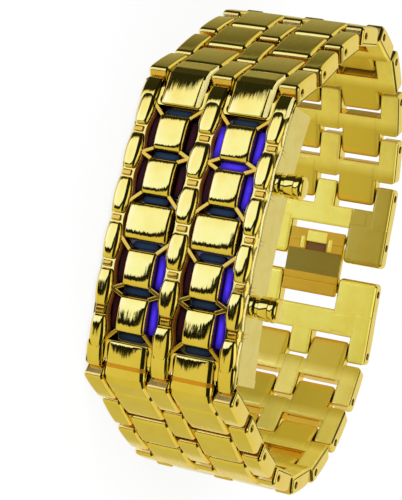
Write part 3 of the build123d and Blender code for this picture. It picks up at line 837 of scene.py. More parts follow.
def dark_plastic(name, colour, gloss):
    """A bar that isn't lit: a dim middle and a nearly black rim."""
    finish = Finish(name, Specular_IOR_Level=gloss)
    grain = finish.noise(finish.place(), scale=3.0, detail=3.0)
    tone = finish.mark() * finish.spread(grain, 0.3, 0.7, 0.75, 1.1)
    finish.set(Base_Color=finish.mix(tone, (0.002, 0.002, 0.003), colour))
    finish.set(Roughness=finish.spread(grain, 0.3, 0.7, 0.28, 0.42))
    finish.set(Normal=finish.bump(grain, 0.2, 0.01 * MM))
    return finish


def slate_plastic(name):
    """The unlit cross bars, which show a slate blue."""
    return dark_plastic(name, (0.014, 0.036, 0.075), 0.12)


def maroon_plastic(name):
    """The unlit side bars: dark plastic whose red tint is a painted reflection of the gold well
    walls.
    """
    return dark_plastic(name, (0.045, 0.005, 0.008), 0.06)


# Faces with a finish of their own

def faces_inwards(normal, middle):
    """True on the side of a link that lies against the wrist."""
    return normal.y < -0.6


def faces_along(normal, middle):
    """True on the ends of a slat, which meet the next slat."""
    return abs(normal.x) > 0.9


def faces_well(normal, middle):
    """True on the walls of the wells."""
    return abs(normal.z) > 0.7 and abs(middle.z) < COLUMN_EDGE + 1.5


def faces_chamfer(normal, middle):
    """True on the chamfers beside the beads."""
    return normal.y > 0.25 and abs(normal.z) > 0.25


def faces_bevel(normal, middle):
    """True on the rounded long edges of the upper end blocks that look to the pushers."""
    wide = any((low + high) / 2 < middle.z < high for low, high in WIDE)
    outer = middle.z > HALF_WIDTH - 0.9
    least_tilt = 0.35 if outer else 0.5
    tilted = normal.y > 0.1 and least_tilt < normal.z < 0.97
    return (wide or outer) and tilted and middle.x > WELL_HALF + 0.2


def faces_crease(normal, middle):
    """True on the strip across the lower end blocks, just before their fold."""
    strip_start = HINGE_REACH - 2.3
    strip_end = HINGE_REACH - 1.6
    wide = any(low < middle.z < high for low, high in WIDE)
    return wide and strip_start < -middle.x < strip_end and normal.y > 0.4


def faces_shaded_rail(normal, middle):
    """True on the inner side of the rail that lies towards the pushers."""
    return normal.y < -0.6 and middle.z > LATCH_OPENING + 0.2


def inner_side():
    """The brushed plating of the side that lies against the wrist, with painted reflections along
    each slat.
    """
    return faces_inwards, finish_for("satin_gold", satin_gold)


# Pieces

class WATCH_OT_case(bpy.types.Operator):
    """The walls of the case, and the bars and end plates of its face."""
    bl_idname = "watch.case"
    bl_label = "Case"

    def execute(self, context):
        walls = Form()
        face = Form()
        self.side_walls(walls)
        for low_z, high_z in NARROW:
            self.wavy_bar(face, low_z, high_z)
        for end in (-1, 1):
            self.end_wall(walls, end)
            self.end_plate(face, end)
        place = head_frame()
        walls.piece("case_walls", place, "head", "pale_gold", side_gold(), ["head_case"],
                    [inner_side()])
        face.piece("face_bars", place, "head", "polished_gold", gold(), (),
                   [(faces_well, well_gold()), inner_side()])
        return {"FINISHED"}

    def side_walls(self, form):
        """The two flat sides of the head."""
        thick = 0.75
        corner = 0.2
        rim = 0.1
        stops = 25
        outline = (arc_line(CASE_HALF, -CASE_HALF, WALL_DROP, stops)
                   + arc_line(-CASE_HALF, CASE_HALF, CASE_DEPTH, stops))
        ends = (0, stops - 1, stops, 2 * stops - 1)
        radii = [corner if index in ends else 0 for index in range(2 * stops)]
        wall = slab(rounded(outline, radii, 3), 0, thick, rim, 2)
        for z in (HALF_WIDTH - thick, -HALF_WIDTH):
            form.add(wall, Matrix.Translation((0, 0, z)))

    def end_wall(self, form, end):
        """The wall that closes the case at one end."""
        lift = 0.05
        margin = 0.02
        rim = 0.12
        near, far = sorted((end * CAVITY_HALF, end * CASE_HALF))
        low = (near, arc_y(CASE_HALF, CASE_DEPTH) + lift, margin - HALF_WIDTH)
        high = (far, arc_y(CASE_HALF, WALL_DROP), HALF_WIDTH - margin)
        form.add(cushion(low, high, rim, 2))

    def end_plate(self, form, end):
        """The strip of the face beyond the last gap at one end."""
        overlap = 0.05
        drop = 0.06
        margin = 0.12
        rim = 0.1
        stops = 5
        near, far = sorted((end * (WELL_HALF - overlap), end * CASE_HALF))
        outline = arc_line(far, near, drop, stops) + arc_line(near, far, FACE_DEPTH, stops)
        form.add(slab(outline, margin - HALF_WIDTH, HALF_WIDTH - margin, rim, 2))

    def wavy_bar(self, form, low_z, high_z):
        """The bar under one narrow column, wide under a bead and narrow under a pad.

        A face that is also the side of the case keeps its foot straight.
        """
        base = 0.45
        height = 0.32
        most = base + 0.6 * height
        rim = 0.1
        stops = 83
        side = case_side(low_z, high_z)
        low = (-CAVITY_HALF, -FACE_DEPTH, low_z)
        high = (CAVITY_HALF, 0.0, high_z)

        def waved(x, y, z):
            level = (y + FACE_DEPTH) / FACE_DEPTH
            wave = min(base - height * math.cos(2 * math.pi * x / ROW_PITCH), most)
            wall = -1 if z < (low_z + high_z) / 2 else 1
            z -= wall * (2 * base - wave) * (level if wall == side else 1.0)
            angle = x / FACE_RADIUS
            out = FACE_RADIUS + y
            return out * math.sin(angle), out * math.cos(angle) - FACE_RADIUS, z

        lines = (spread(-CAVITY_HALF, CAVITY_HALF, stops), (), ())
        form.add(cushion(low, high, rim, 2, lines, waved))


class WATCH_OT_blocks(bpy.types.Operator):
    """The crowned blocks of the two digit columns."""
    bl_idname = "watch.blocks"
    bl_label = "Face blocks"

    def execute(self, context):
        form = Form()
        for column in COLUMNS:
            for row in ROWS:
                form.add(self.block(column, row), face_at(row * ROW_PITCH))
        form.piece("face_blocks", head_frame(), "head", "polished_gold", face_gold())
        return {"FINISHED"}

    def block(self, column, row):
        """One block. Its top turns back by half the slope of the arc under it."""
        middle_overlap = 0.05
        side_fall = 0.42
        wide = BLOCK_WIDTH / 2 if row else COLUMN_WIDE / 2 + middle_overlap
        crown = size_of("block_crown")
        slope = row * ROW_PITCH / FACE_RADIUS
        low = (-BLOCK_HALF, -FACE_DEPTH, column - wide)
        high = (BLOCK_HALF, BLOCK_RISE - crown, column + wide)

        def domed(x, y, z):
            share = max(0.0, (y - low[1]) / (high[1] - low[1]))
            fall = abs(x / BLOCK_HALF) ** 3.4 + side_fall * abs((z - column) / wide) ** 3
            return x, y + share * (crown * (1 - fall) + slope / 2 * x), z

        return cushion(low, high, size_of("block_round"), 4,
                       inner_lines(low, high, 0.5, 13, 7), domed)


class WATCH_OT_beads(bpy.types.Operator):
    """The barrel beads of the narrow columns, the pads between them and their side lines."""
    bl_idname = "watch.beads"
    bl_label = "Beads and pads"

    half = 3.07

    # Margins at the side of the case and beside the blocks
    bead_margins = (0.75, 0.85)
    pad_margins = (0.65, 1.15)

    def execute(self, context):
        beads = Form()
        pads = Form()
        edges = Form()
        for low_z, high_z in NARROW:
            side = case_side(low_z, high_z)
            bead = self.bead(*trimmed(low_z, high_z, *self.bead_margins))
            pad = self.pad(*trimmed(low_z, high_z, *self.pad_margins))
            for gap in GAPS:
                beads.add(bead, face_at(gap * ROW_PITCH))
                if side:
                    edges.add(self.scallop(side), face_at(gap * ROW_PITCH))
            for row in ROWS:
                pads.add(pad, face_at(row * ROW_PITCH))
                if side:
                    self.side_lines(pads, row, side)
        place = head_frame()
        beads.piece("face_beads", place, "head", "polished_gold", face_gold())
        edges.piece("bead_edges", place, "head", "polished_gold", side_gold(), (),
                    [(faces_chamfer, bevel_gold())])
        pads.piece("bead_pads", place, "head", "polished_gold", rib_gold())
        return {"FINISHED"}

    def bead(self, low_z, high_z):
        """One bead: domed, and wider at its middle than at its ends."""
        rim = 0.4
        foot = -0.8
        still = -0.6
        lift_range = 1.2
        crown = 0.5
        end_drop = 0.42
        bulge = size_of("bead_bulge")
        middle = (low_z + high_z) / 2
        wide = (high_z - low_z) / 2
        low = (-self.half, foot, low_z)
        high = (self.half, size_of("bead_rise") - end_drop, high_z)

        def barrel(x, y, z):
            along = abs(x / self.half)
            across = abs(z - middle) / wide
            belly = bulge * max(0.0, 1 - along ** 2) * min(1.0, across ** 2)
            lift = max(0.0, (y - still) / lift_range)
            y += lift * (crown - end_drop * along ** 3 - crown * min(1.2, across) ** 4.5)
            return x, y, z + math.copysign(belly, z - middle)

        return cushion(low, high, rim, 4, inner_lines(low, high, 0.75 * rim, 13, 9), barrel)

    def scallop(self, side):
        """The chamfered strip beside a bead of an outer column, with an arched top."""
        foot = -1.2
        shoulder = -0.6
        crest = 0.05
        fall = 0.6
        arch_share = 0.85
        rim = 0.45
        outer = HALF_WIDTH - 0.03
        inner = outer - 0.92
        arch = [(self.half * share, crest - fall * share ** 2)
                for share in np.linspace(arch_share, -arch_share, 9)]
        outline = [(-self.half, foot), (self.half, foot), (self.half, shoulder), *arch,
                   (-self.half, shoulder)]
        return slab(outline, *sorted((side * inner, side * outer)), rim, 4)

    def pad(self, low_z, high_z):
        """The small pad between two beads."""
        half = 0.55
        foot = -0.5
        top = 0.24
        rim = 0.3
        return cushion((-half, foot, low_z), (half, top, high_z), rim, 3)

    def side_lines(self, form, row, side):
        """The two thin lines below a pad on one side of the case."""
        apart = 0.34
        half = 0.07
        raised = 0.05
        foot = -2.5
        top = -WALL_DROP - 0.1
        z = side * HALF_WIDTH
        for x in (-apart, apart):
            line = cushion((x - half, foot, z - raised), (x + half, top, z + raised), raised, 1)
            form.add(line, face_at(row * ROW_PITCH))


class WATCH_OT_ribs(bpy.types.Operator):
    """The diagonal ribs between the blocks and the sides of the wells."""
    bl_idname = "watch.ribs"
    bl_label = "Ribs"

    def execute(self, context):
        form = Form()
        outer_rows = [row for row in ROWS if row]
        for column in COLUMNS:
            for row in outer_rows:
                for end in (-1, 1):
                    for side in (-1, 1):
                        self.rib(form, column, row, end, side)
        form.piece("face_ribs", head_frame(), "head", "polished_gold", rib_gold())
        return {"FINISHED"}

    def rib(self, form, column, row, end, side):
        """One rib, from a corner of a block outwards."""
        overlap = 0.4
        half_thick = 0.38
        foot = -1.3
        top = 0.1
        rim = 0.16
        x_block = row * ROW_PITCH + end * BLOCK_HALF
        z_block = column + side * BLOCK_WIDTH / 2
        z_well = column + side * WELL_REACH
        meets = row + end in ROWS and row + end != 0
        reach = ROW_GAP / 2 if meets else ROW_GAP
        x_well = x_block + end * reach
        half = math.hypot(reach, z_well - z_block) / 2 + overlap
        heading = math.atan2(z_well - z_block, x_well - x_block)
        shape = cushion((-half, foot, -half_thick), (half, top, half_thick), rim, 2)
        middle = Matrix.Translation((0, 0, (z_block + z_well) / 2))
        form.add(shape, face_at((x_block + x_well) / 2) @ middle
                 @ Matrix.Rotation(-heading, 4, "Y"))


class WATCH_OT_end_blocks(bpy.types.Operator):
    """The folded end blocks of the wide columns and the sloped ends of the narrow ones."""
    bl_idname = "watch.end_blocks"
    bl_label = "End blocks"

    # Margins of the narrow ends at the side of the case and beside the blocks
    narrow_margins = (0.1, 0.5)

    def execute(self, context):
        form = Form()
        for side in SIDES:
            turn = Matrix.Rotation(0 if side == "upper" else math.pi, 4, "Y")
            outline, fold = self.fold_outline(side)
            for low_z, high_z in WIDE:
                form.add(self.wide_block(outline, fold, low_z, high_z), turn)
            for low_z, high_z in NARROW:
                narrow = self.narrow_end(*trimmed(low_z, high_z, *self.narrow_margins))
                form.add(narrow, turn)
        form.piece("end_blocks", head_frame(), "head", "polished_gold", face_gold(), (),
                   [(faces_bevel, bevel_gold()), (faces_crease, crease_gold())])
        return {"FINISHED"}

    def fold_outline(self, side):
        """The outline of a wide end block, and the x of its fold over the hinge.

        From the last gap it runs along the arc to a crease, then down a slope of 45 degrees to
        the fold, and along the first link as far as its slats begin.
        """
        tip_gap = 0.22
        tip_drop = 0.12
        tip_round = 0.3
        fold_round = 1.2
        crease_round = 0.5
        start_round = 0.4
        swell = 0.9
        inner_clear = 0.4
        local = head_frame().inverted() @ link_frames(side)[0]

        def from_link(x, y):
            spot = local @ (Vector((x, y, 0)) * MM) / MM
            return abs(spot.x), spot.y

        out = LINK_HALF * math.sqrt(0.5)
        fold = (HINGE_REACH + out, out - HINGE_DEPTH)
        back = (HINGE_REACH - out, -out - HINGE_DEPTH)
        tip_out = from_link(SLAT_START - tip_gap, LINK_HALF - tip_drop)
        tip_in = from_link(SLAT_START - tip_gap, -LINK_HALF)
        total = sum(fold)
        shift = total + FACE_RADIUS
        root = math.sqrt(2 * (FACE_RADIUS + BLOCK_RISE) ** 2 - shift ** 2)
        crease_x = min((shift - root) / 2, (shift + root) / 2, key=lambda x: abs(x - fold[0]))
        crease = Vector((crease_x, total - crease_x))
        first = Vector((WELL_HALF, arc_y(WELL_HALF, -BLOCK_RISE)))
        arch = []
        for share in spread(0.0, 1.0, 7):
            point = crease.lerp(first, share)
            arch.append((point.x, point.y + share * (1 - share) * swell))
        inner_x = CAVITY_HALF + inner_clear
        corners = [((WELL_HALF, arc_y(WELL_HALF, FACE_DEPTH)), 0),
                   ((inner_x, back[1] + back[0] - inner_x), 0), (back, 0), (tip_in, tip_round),
                   (tip_out, tip_round), (fold, fold_round), (tuple(crease), crease_round),
                   *((point, 0) for point in arch), (tuple(first), start_round)]
        return rounded(*zip(*corners), 5), fold[0]

    def wide_block(self, outline, fold_x, low_z, high_z):
        """One wide end block, which falls to its sides between the last gap and the fold."""
        margin = 0.1
        rim = 0.95
        skin = 0.6
        fold_clear = 0.6
        fade = 2.5
        side_drop = 0.45
        points, faces = slab(outline, low_z + margin, high_z - margin, rim, 6, levels=9)
        middle = (low_z + high_z) / 2
        domed = []
        for x, y, z in points:
            if y > arc_y(x, skin):
                share = min(1.0, max(0.0, (fold_x - fold_clear - x) / fade))
                y -= share * side_drop * abs((z - middle) / (COLUMN_WIDE / 2)) ** 3
            domed.append((x, y, z))
        return domed, faces

    def narrow_end(self, low_z, high_z):
        """The end of a narrow column: high at the last gap, and sloped down to the hinge."""
        crest_x = GAPS[-1] * ROW_PITCH + 1.2
        crest_rise = 0.7
        bend = 1.8
        rim = 0.7
        start_x = WELL_HALF + 0.6
        start_depth = 1.2
        foot_back = 0.9
        foot_ahead = 0.4
        clear = (LINK_REACH + 0.4) / math.sqrt(2)
        under = HINGE_REACH - clear
        deep = clear - HINGE_DEPTH
        tip = Vector((under + 0.3, deep + 0.75))
        crest = Vector((crest_x, arc_y(crest_x, -crest_rise)))
        corners = [((start_x, arc_y(start_x, start_depth)), 0),
                   ((under - foot_back, deep - foot_back), 0.2),
                   ((under + foot_ahead, deep + foot_ahead), 0.15), (tuple(tip), 0.1)]
        outline = rounded(*zip(*corners))
        for share in np.linspace(0.9, 0.0, 10):
            outline.append((crest.x + (tip.x - crest.x) * share,
                            crest.y + (tip.y - crest.y) * share ** bend))
        return slab(outline, low_z, high_z, rim, 5)


def slat_outline(low, high):
    """The outline of a narrow slat: a crowned top, round outer corners and a flat inner side."""
    inner_round = 0.4
    arch_share = 0.62
    crown = size_of("slat_crown")
    half = (high - low) / 2
    middle = (high + low) / 2
    arch = [(middle + half * share, LINK_HALF - crown * share ** 2)
            for share in np.linspace(arch_share, -arch_share, 9)]
    top = LINK_HALF - crown
    corners = [(low, -LINK_HALF), (high, -LINK_HALF), (high, top), *arch, (low, top)]
    radii = [inner_round, inner_round, SLAT_END_ROUND, *[0] * len(arch), SLAT_END_ROUND]
    return rounded(corners, radii, 5)


def wide_slat(low_x, high_x, low_z, high_z):
    """A wide slat, crowned along the band and a little across it."""
    crown = size_of("slat_crown")
    low = (low_x, -LINK_HALF, low_z)
    high = (high_x, LINK_HALF - crown, high_z)
    return cushion(low, high, size_of("slat_round"), 4, inner_lines(low, high, 0.5, 7, 3),
                   crowned(low, high, crown, 0.85, 0.25))


def link_parts(form, inner, narrow_end, wide_end):
    """The slats of a link or of a clasp bar, up to their ends, and the core between them.

    The three narrow slats hold the pin at x = 0.
    """
    half_gap = COLUMN_GAP / 2
    outline = slat_outline(-LINK_REACH, narrow_end)
    for low_z, high_z in NARROW:
        holes = [(0, 0, PIN_MOUTH, PIN_MOUTH_DEPTH)] if case_side(low_z, high_z) else []
        form.add(slab(outline, *trimmed(low_z, high_z, 0.0, half_gap),
                      size_of("slat_round") * NARROW_ROUND_SHARE, 4, holes))
    for low_z, high_z in WIDE:
        form.add(wide_slat(SLAT_START, wide_end, low_z + half_gap, high_z - half_gap))
    core_low = (SLAT_START + 0.1, 0.06 - LINK_HALF, 0.3 - HALF_WIDTH)
    core_high = (narrow_end - 0.35, LINK_HALF - 0.75, HALF_WIDTH - 0.3)
    inner.add(cushion(core_low, core_high, 0.1, 1))


class WATCH_OT_links(bpy.types.Operator):
    """The sixteen links of the band, with the holes of their pins."""
    bl_idname = "watch.links"
    bl_label = "Links"

    def execute(self, context):
        form = Form()
        inner = Form()
        link_parts(form, inner, LINK_PITCH - SLAT_START, LINK_PITCH + LINK_REACH)
        for side in SIDES:
            for index, place in enumerate(link_frames(side), start=1):
                body = f"{side}_link_{index}"
                form.piece(f"{body}_slats", place, body, "polished_gold", link_gold(), [body],
                           [(faces_along, inner_gold()), inner_side()])
                inner.piece(f"{body}_core", place, body, "polished_gold", inner_gold(), (),
                            [inner_side()])
        return {"FINISHED"}


class WATCH_OT_clasp(bpy.types.Operator):
    """The two halves of the clasp, each a cross bar with two wide rails."""
    bl_idname = "watch.clasp"
    bl_label = "Clasp frames"

    def execute(self, context):
        for side in SIDES:
            form = Form()
            inner = Form()
            slats_end = CROSS_BAR_END[side] - 0.1
            link_parts(form, inner, slats_end, slats_end)
            form.add(self.cross_bar(CROSS_BAR_END[side]))
            for low_z, high_z in ((CLASP_SINK - HALF_WIDTH, -LATCH_OPENING),
                                  (LATCH_OPENING, HALF_WIDTH - CLASP_SINK)):
                form.add(self.rail(RAIL_END[side], LATCH_PIN_AT[side], low_z, high_z))
            body = f"{side}_clasp"
            place = clasp_frame(side)
            others = [(faces_along, inner_gold()), (faces_inwards, clasp_satin())]
            if side == "upper":
                others.append((faces_shaded_rail, shaded_satin()))
            form.piece(f"{body}_bar", place, body, "polished_gold", link_gold(),
                       [f"{body}_frame"], others)
            inner.piece(f"{body}_core", place, body, "polished_gold", inner_gold(), (),
                        [inner_side()])
        return {"FINISHED"}

    def cross_bar(self, end):
        """The low bar between the rails, against the wrist."""
        rim = 0.4
        proud = 0.02
        top_drop = 0.8
        half = LATCH_OPENING + 0.5
        return cushion((SLAT_START, -LINK_HALF - proud, -half), (end, LINK_HALF - top_drop, half),
                       rim, 3)

    def rail(self, end, pin_at, low_z, high_z):
        """One rail, sunk a little in the outer slat, with the mouth of the latch's pin."""
        root_round = 0.3
        end_round = 1.0
        half = LINK_HALF - CLASP_SINK
        outline = rounded([(SLAT_START, -half), (end, -half), (end, half), (SLAT_START, half)],
                          [root_round, end_round, end_round, root_round])
        return slab(outline, low_z, high_z, size_of("slat_round") * RAIL_ROUND_SHARE, 3,
                    [(pin_at, 0, PIN_MOUTH, PIN_MOUTH_DEPTH)])


class WATCH_OT_latch(bpy.types.Operator):
    """The snap latch: a plate with flanges, a slot over a dark floor of painted shadow, a rolled
    edge and a tab.
    """
    bl_idname = "watch.latch"
    bl_label = "Latch"

    under = -1.75
    over = -1.25
    wide = LATCH_OPENING - 0.25
    slot_half = 2.1
    slot_before_bar = (2.7, 1.1)
    past_bar = 0.9
    lip = 0.4
    rim = 0.1
    room = 0.05

    def execute(self, context):
        span = (joint_place("upper_clasp_hinge") - joint_place("lower_clasp_hinge")).length / MM
        eye = LATCH_PIN_AT["lower"]
        bar = span - LATCH_PIN_AT["upper"]
        end = bar + self.past_bar
        slot = tuple(bar - before for before in self.slot_before_bar)
        place = clasp_frame("lower")
        for name, form, slot_name, material, others in (
                ("latch_tab", self.tab(slot, end), "polished_gold", clasp_satin(), ()),
                ("latch_plate", self.plate(eye, bar, end, slot), "polished_gold", link_gold(),
                 [(faces_inwards, latch_gold())]),
                ("latch_trim", self.trim(eye, end, slot), "polished_gold", roll_gold(), ()),
                ("latch_slot", self.floor(slot), "polished_gold", slot_gold(), ())):
            form.piece(name, place, "latch", slot_name, material, ["latch_blade"], others)
        return {"FINISHED"}

    def plate(self, eye, bar, end, slot):
        """The plate as far as the slot, and the two flanges that snap over the bar."""
        overlap = 0.02
        flange_thick = 0.6
        flange_rim = 0.12
        foot = -1.7
        shoulder = -0.25
        notch = -PIN_RADIUS - self.room
        catch = notch + 0.35
        form = Form()
        form.add(cushion((eye + 0.2, self.under, -self.wide),
                         (slot[0] + overlap, self.over, self.wide), self.rim, 2))
        corners = [((eye, foot), 0), ((end + self.lip, foot), 0.3), ((end, catch), 0.3),
                   ((bar + 0.75, catch), 0.1), ((bar + 0.15, notch), 0.1),
                   ((bar - 1.2, notch), 0.2), ((bar - 1.8, shoulder), 0.2), ((eye, shoulder), 0)]
        flange = rounded(*zip(*corners))
        for z in (-self.wide, self.wide - flange_thick):
            form.add(slab(flange, z, z + flange_thick, flange_rim, 2))
        return form

    def trim(self, eye, end, slot):
        """The plate around the slot, the tube on the pin, and the rolled edge beside it."""
        overlap = 0.02
        bore = PIN_RADIUS + self.room
        tube = 1.15
        tube_sides = 28
        roll_under = -1.95
        roll_over = -0.9
        roll_rim = 0.35
        fold_under = -1.86
        fold_over = -1.3
        form = Form()
        for x_low, x_high, z_low, z_high in (
                (*slot, -self.wide, -self.slot_half), (*slot, self.slot_half, self.wide),
                (slot[1] - overlap, end + self.lip, -self.wide, self.wide)):
            form.add(cushion((x_low, self.under, z_low), (x_high, self.over, z_high),
                             self.rim, 2))
        profile = [(bore, -self.wide), (tube - self.rim, -self.wide),
                   (tube, self.rim - self.wide), (tube, self.wide - self.rim),
                   (tube - self.rim, self.wide), (bore, self.wide), (bore, -self.wide)]
        form.add(lathe(profile, tube_sides), Matrix.Translation((eye, 0, 0)))
        form.add(cushion((eye - 1.9, roll_under, -self.wide), (eye + 0.6, roll_over, self.wide),
                         roll_rim, 4))
        form.add(cushion((eye + 0.5, fold_under, -self.wide), (eye + 1.9, fold_over, self.wide),
                         self.rim, 2))
        return form

    def tab(self, slot, end):
        """The lifting tab, with two ears beside the slot."""
        half = 2.0
        tab_under = -2.1
        tab_over = -1.4
        tab_rim = 0.2
        ear = 0.8
        ear_at = 2.4
        ear_under = -2.0
        ear_over = -1.5
        ear_rim = 0.25
        form = Form()
        form.add(cushion((slot[1], tab_under, -half), (end + 0.1, tab_over, half), tab_rim, 3))
        for z in (-ear_at - ear, ear_at):
            form.add(cushion((slot[0] + 0.1, ear_under, z), (slot[1] + 0.9, ear_over, z + ear),
                             ear_rim, 3))
        return form

    def floor(self, slot):
        """A dark sheet that shows through the slot, as painted shadow in it."""
        past = 0.4
        low_y = self.over - 0.05
        high_y = low_y + 0.3
        rim = 0.05
        form = Form()
        form.add(cushion((slot[0] - past, low_y, -self.slot_half - past),
                         (slot[1] + past, high_y, self.slot_half + past), rim, 1))
        return form


class WATCH_OT_pushers(bpy.types.Operator):
    """The collars of the pushers and their smooth knobs."""
    bl_idname = "watch.pushers"
    bl_label = "Pushers"

    sides = 64

    def execute(self, context):
        head = head_frame()
        collars = Form()
        for side, x in zip(SIDES, (PUSHER_STATION, -PUSHER_STATION)):
            on_wall = Matrix.Translation((x, -PUSHER_DEPTH, HALF_WIDTH))
            collars.add(lathe(self.collar(), self.sides), on_wall)
            knob = Form()
            knob.add(lathe(self.knob(), self.sides), on_wall)
            knob.piece(f"{side}_pusher_knob", head, f"{side}_pusher", "polished_gold", gold(),
                       [f"{side}_pusher_button"])
        collars.piece("pusher_collars", head, "head", "polished_gold", gold(), ["pusher_tubes"])
        return {"FINISHED"}

    def collar(self):
        """The profile of a collar from the case wall: a tube in the wall and a wide cup."""
        bore = 0.76
        tube = 1.28
        cup = 1.62
        radius = 1.9
        foot = -1.3
        seat = -0.02
        floor = 0.1
        top = 0.9
        return [(bore, foot), (tube, foot), (tube, seat), (radius - 0.04, seat),
                (radius, seat + 0.1), (radius, top - 0.16), (radius - 0.1, top - 0.02),
                (cup, top), (cup, floor), (bore, floor), (bore, foot)]

    def knob(self):
        """The profile of a button from the case wall: stem, sleeve, ring groove and cap."""
        stem = 0.7
        sleeve = 1.55
        radius = 2.0
        stem_end = -1.85
        sleeve_end = 0.75
        rim = 1.75
        ring = rim + 1.6
        top = rim + 2.9
        return [(stem, stem_end), (stem, sleeve_end), (sleeve, sleeve_end), (sleeve, rim - 0.2),
                (radius - 0.14, rim - 0.2), (radius - 0.02, rim - 0.1), (radius, rim + 0.05),
                (radius, ring - 0.18), (radius - 0.03, ring - 0.1), (radius - 0.16, ring - 0.06),
                (radius - 0.16, ring + 0.06), (radius - 0.03, ring + 0.1), (radius, ring + 0.18),
                (radius, top - 0.55), (radius - 0.1, top - 0.3), (radius - 0.32, top - 0.1),
                (radius - 0.55, top), (0.05, top)]


class WATCH_OT_bars(bpy.types.Operator):
    """The light bars of the digits: domed bars with cut corners, lit and unlit."""
    bl_idname = "watch.bars"
    bl_label = "Light bars"

    # The lit bars, counted from the upper end: (column, side, row) beside a block, and
    # (column, gap) across a gap
    lit_sides = {(1, -1, 0), (1, 1, 0), (1, 1, 1), (0, 1, 3), (0, 1, 4), (1, 1, 3), (1, 1, 4)}
    lit_gaps = {(1, 1)}

    side_half = 2.75
    side_clear = 0.14
    cross_half_long = 2.35
    cross_half_short = 0.63

    def execute(self, context):
        lit = Form()
        unlit = Form()
        dim = Form()
        for index, column in enumerate(COLUMNS):
            for order, row in enumerate(reversed(ROWS)):
                for side in (-1, 1) if row else ():
                    form = lit if (index, side, order) in self.lit_sides else dim
                    low, high = sorted((column + side * BLOCK_WIDTH / 2,
                                        column + side * WELL_REACH))
                    self.bar(form, row, (-self.side_half, self.side_half),
                             (low + self.side_clear, high - self.side_clear), True)
            for order, gap in enumerate(reversed(GAPS)):
                form = lit if (index, order) in self.lit_gaps else unlit
                self.bar(form, gap, (-self.cross_half_short, self.cross_half_short),
                         (column - self.cross_half_long, column + self.cross_half_long), False)
        place = head_frame()
        lit.piece("lit_bars", place, "head", "lit_bar", finish_for("lit_plastic", lit_plastic),
                  ["segment_bars_lit"])
        unlit.piece("unlit_cross_bars", place, "head", "dark_bar",
                    finish_for("slate_plastic", slate_plastic), ["segment_bars_unlit"])
        dim.piece("unlit_side_bars", place, "head", "dark_bar",
                  finish_for("maroon_plastic", maroon_plastic), ["segment_bars_unlit"])
        return {"FINISHED"}

    def bar(self, form, station, x_range, z_range, lengthways):
        """One bar at a row or gap, with cut ends and a mark from 1 at its middle to 0."""
        top = -0.75
        rim = 0.14
        cut_share = 0.2
        narrowed = 0.375 if lengthways else 0.45
        low = (x_range[0], -FACE_DEPTH, z_range[0])
        high = (x_range[1], top, z_range[1])
        points, faces = cushion(low, high, rim, 2, inner_lines(low, high, 0.0, 9, 9))
        middle = [(low[axis] + high[axis]) / 2 for axis in range(3)]
        half = [(high[axis] - low[axis]) / 2 for axis in range(3)]
        short_axis = 2 if lengthways else 0
        marks = []
        for point in points:
            shares = (point - middle) / half
            long, short = shares[2 - short_axis], shares[short_axis]
            marks.append(max(0.0, 1 - abs(long) ** 3) * max(0.0, 1 - short ** 2))
            cut = narrowed * max(0.0, abs(long) - (1 - cut_share)) / cut_share
            point[short_axis] -= (point[short_axis] - middle[short_axis]) * cut
        form.add((points, faces), face_at(station * ROW_PITCH), marks)


class WATCH_OT_kept(bpy.types.Operator):
    """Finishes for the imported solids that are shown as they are."""
    bl_idname = "watch.kept"
    bl_label = "Kept solids"

    def execute(self, context):
        pins = [name for name in frame["nodes"]
                if "_pin_" in name or name.endswith("_clasp_pins")]
        springs = ["pusher_springs", "upper_pusher_clip", "lower_pusher_clip", "switch_leaves"]
        for slot, make, colour, surface, names in (
                ("pin_steel", solid_metal, (0.74, 0.56, 0.24), (0.22,), pins),
                ("cover_steel", solid_metal, (0.66, 0.63, 0.55), (0.26, 0.6),
                 ["back_cover", "back_screws"]),
                ("spring_steel", solid_metal, (0.60, 0.60, 0.58), (0.2,), springs),
                ("cell_steel", solid_metal, (0.72, 0.72, 0.70), (0.2,), ["button_cells"]),
                ("contact_plate", solid_metal, (0.80, 0.62, 0.26), (0.25,),
                 ["battery_contacts"]),
                ("smoked_sheet", moulded, (0.022, 0.006, 0.008), (0.16, 0.15, 0.5),
                 ["diffuser_sheet"]),
                ("black_mask", moulded, (0.012, 0.012, 0.013), (0.6,), ["light_mask"]),
                ("green_board", moulded, (0.02, 0.16, 0.06), (0.3, 0.5, 0.5),
                 ["circuit_board"]),
                ("lamp_white", moulded, (0.80, 0.78, 0.70), (0.35,), ["led_chips"]),
                ("chip_black", moulded, (0.03, 0.03, 0.033), (0.5,), ["watch_chip"]),
                ("holder_plastic", moulded, (0.08, 0.08, 0.09), (0.5,), ["battery_holder"]),
                ("gasket_rubber", moulded, (0.03, 0.03, 0.03), (0.7, 0.6), ["back_gasket"])):
            material = make(slot, colour, *surface).material
            for name in names:
                item = frame["nodes"][name]
                item.data.materials.clear()
                item.data.materials.append(material)
        return {"FINISHED"}


# Stage

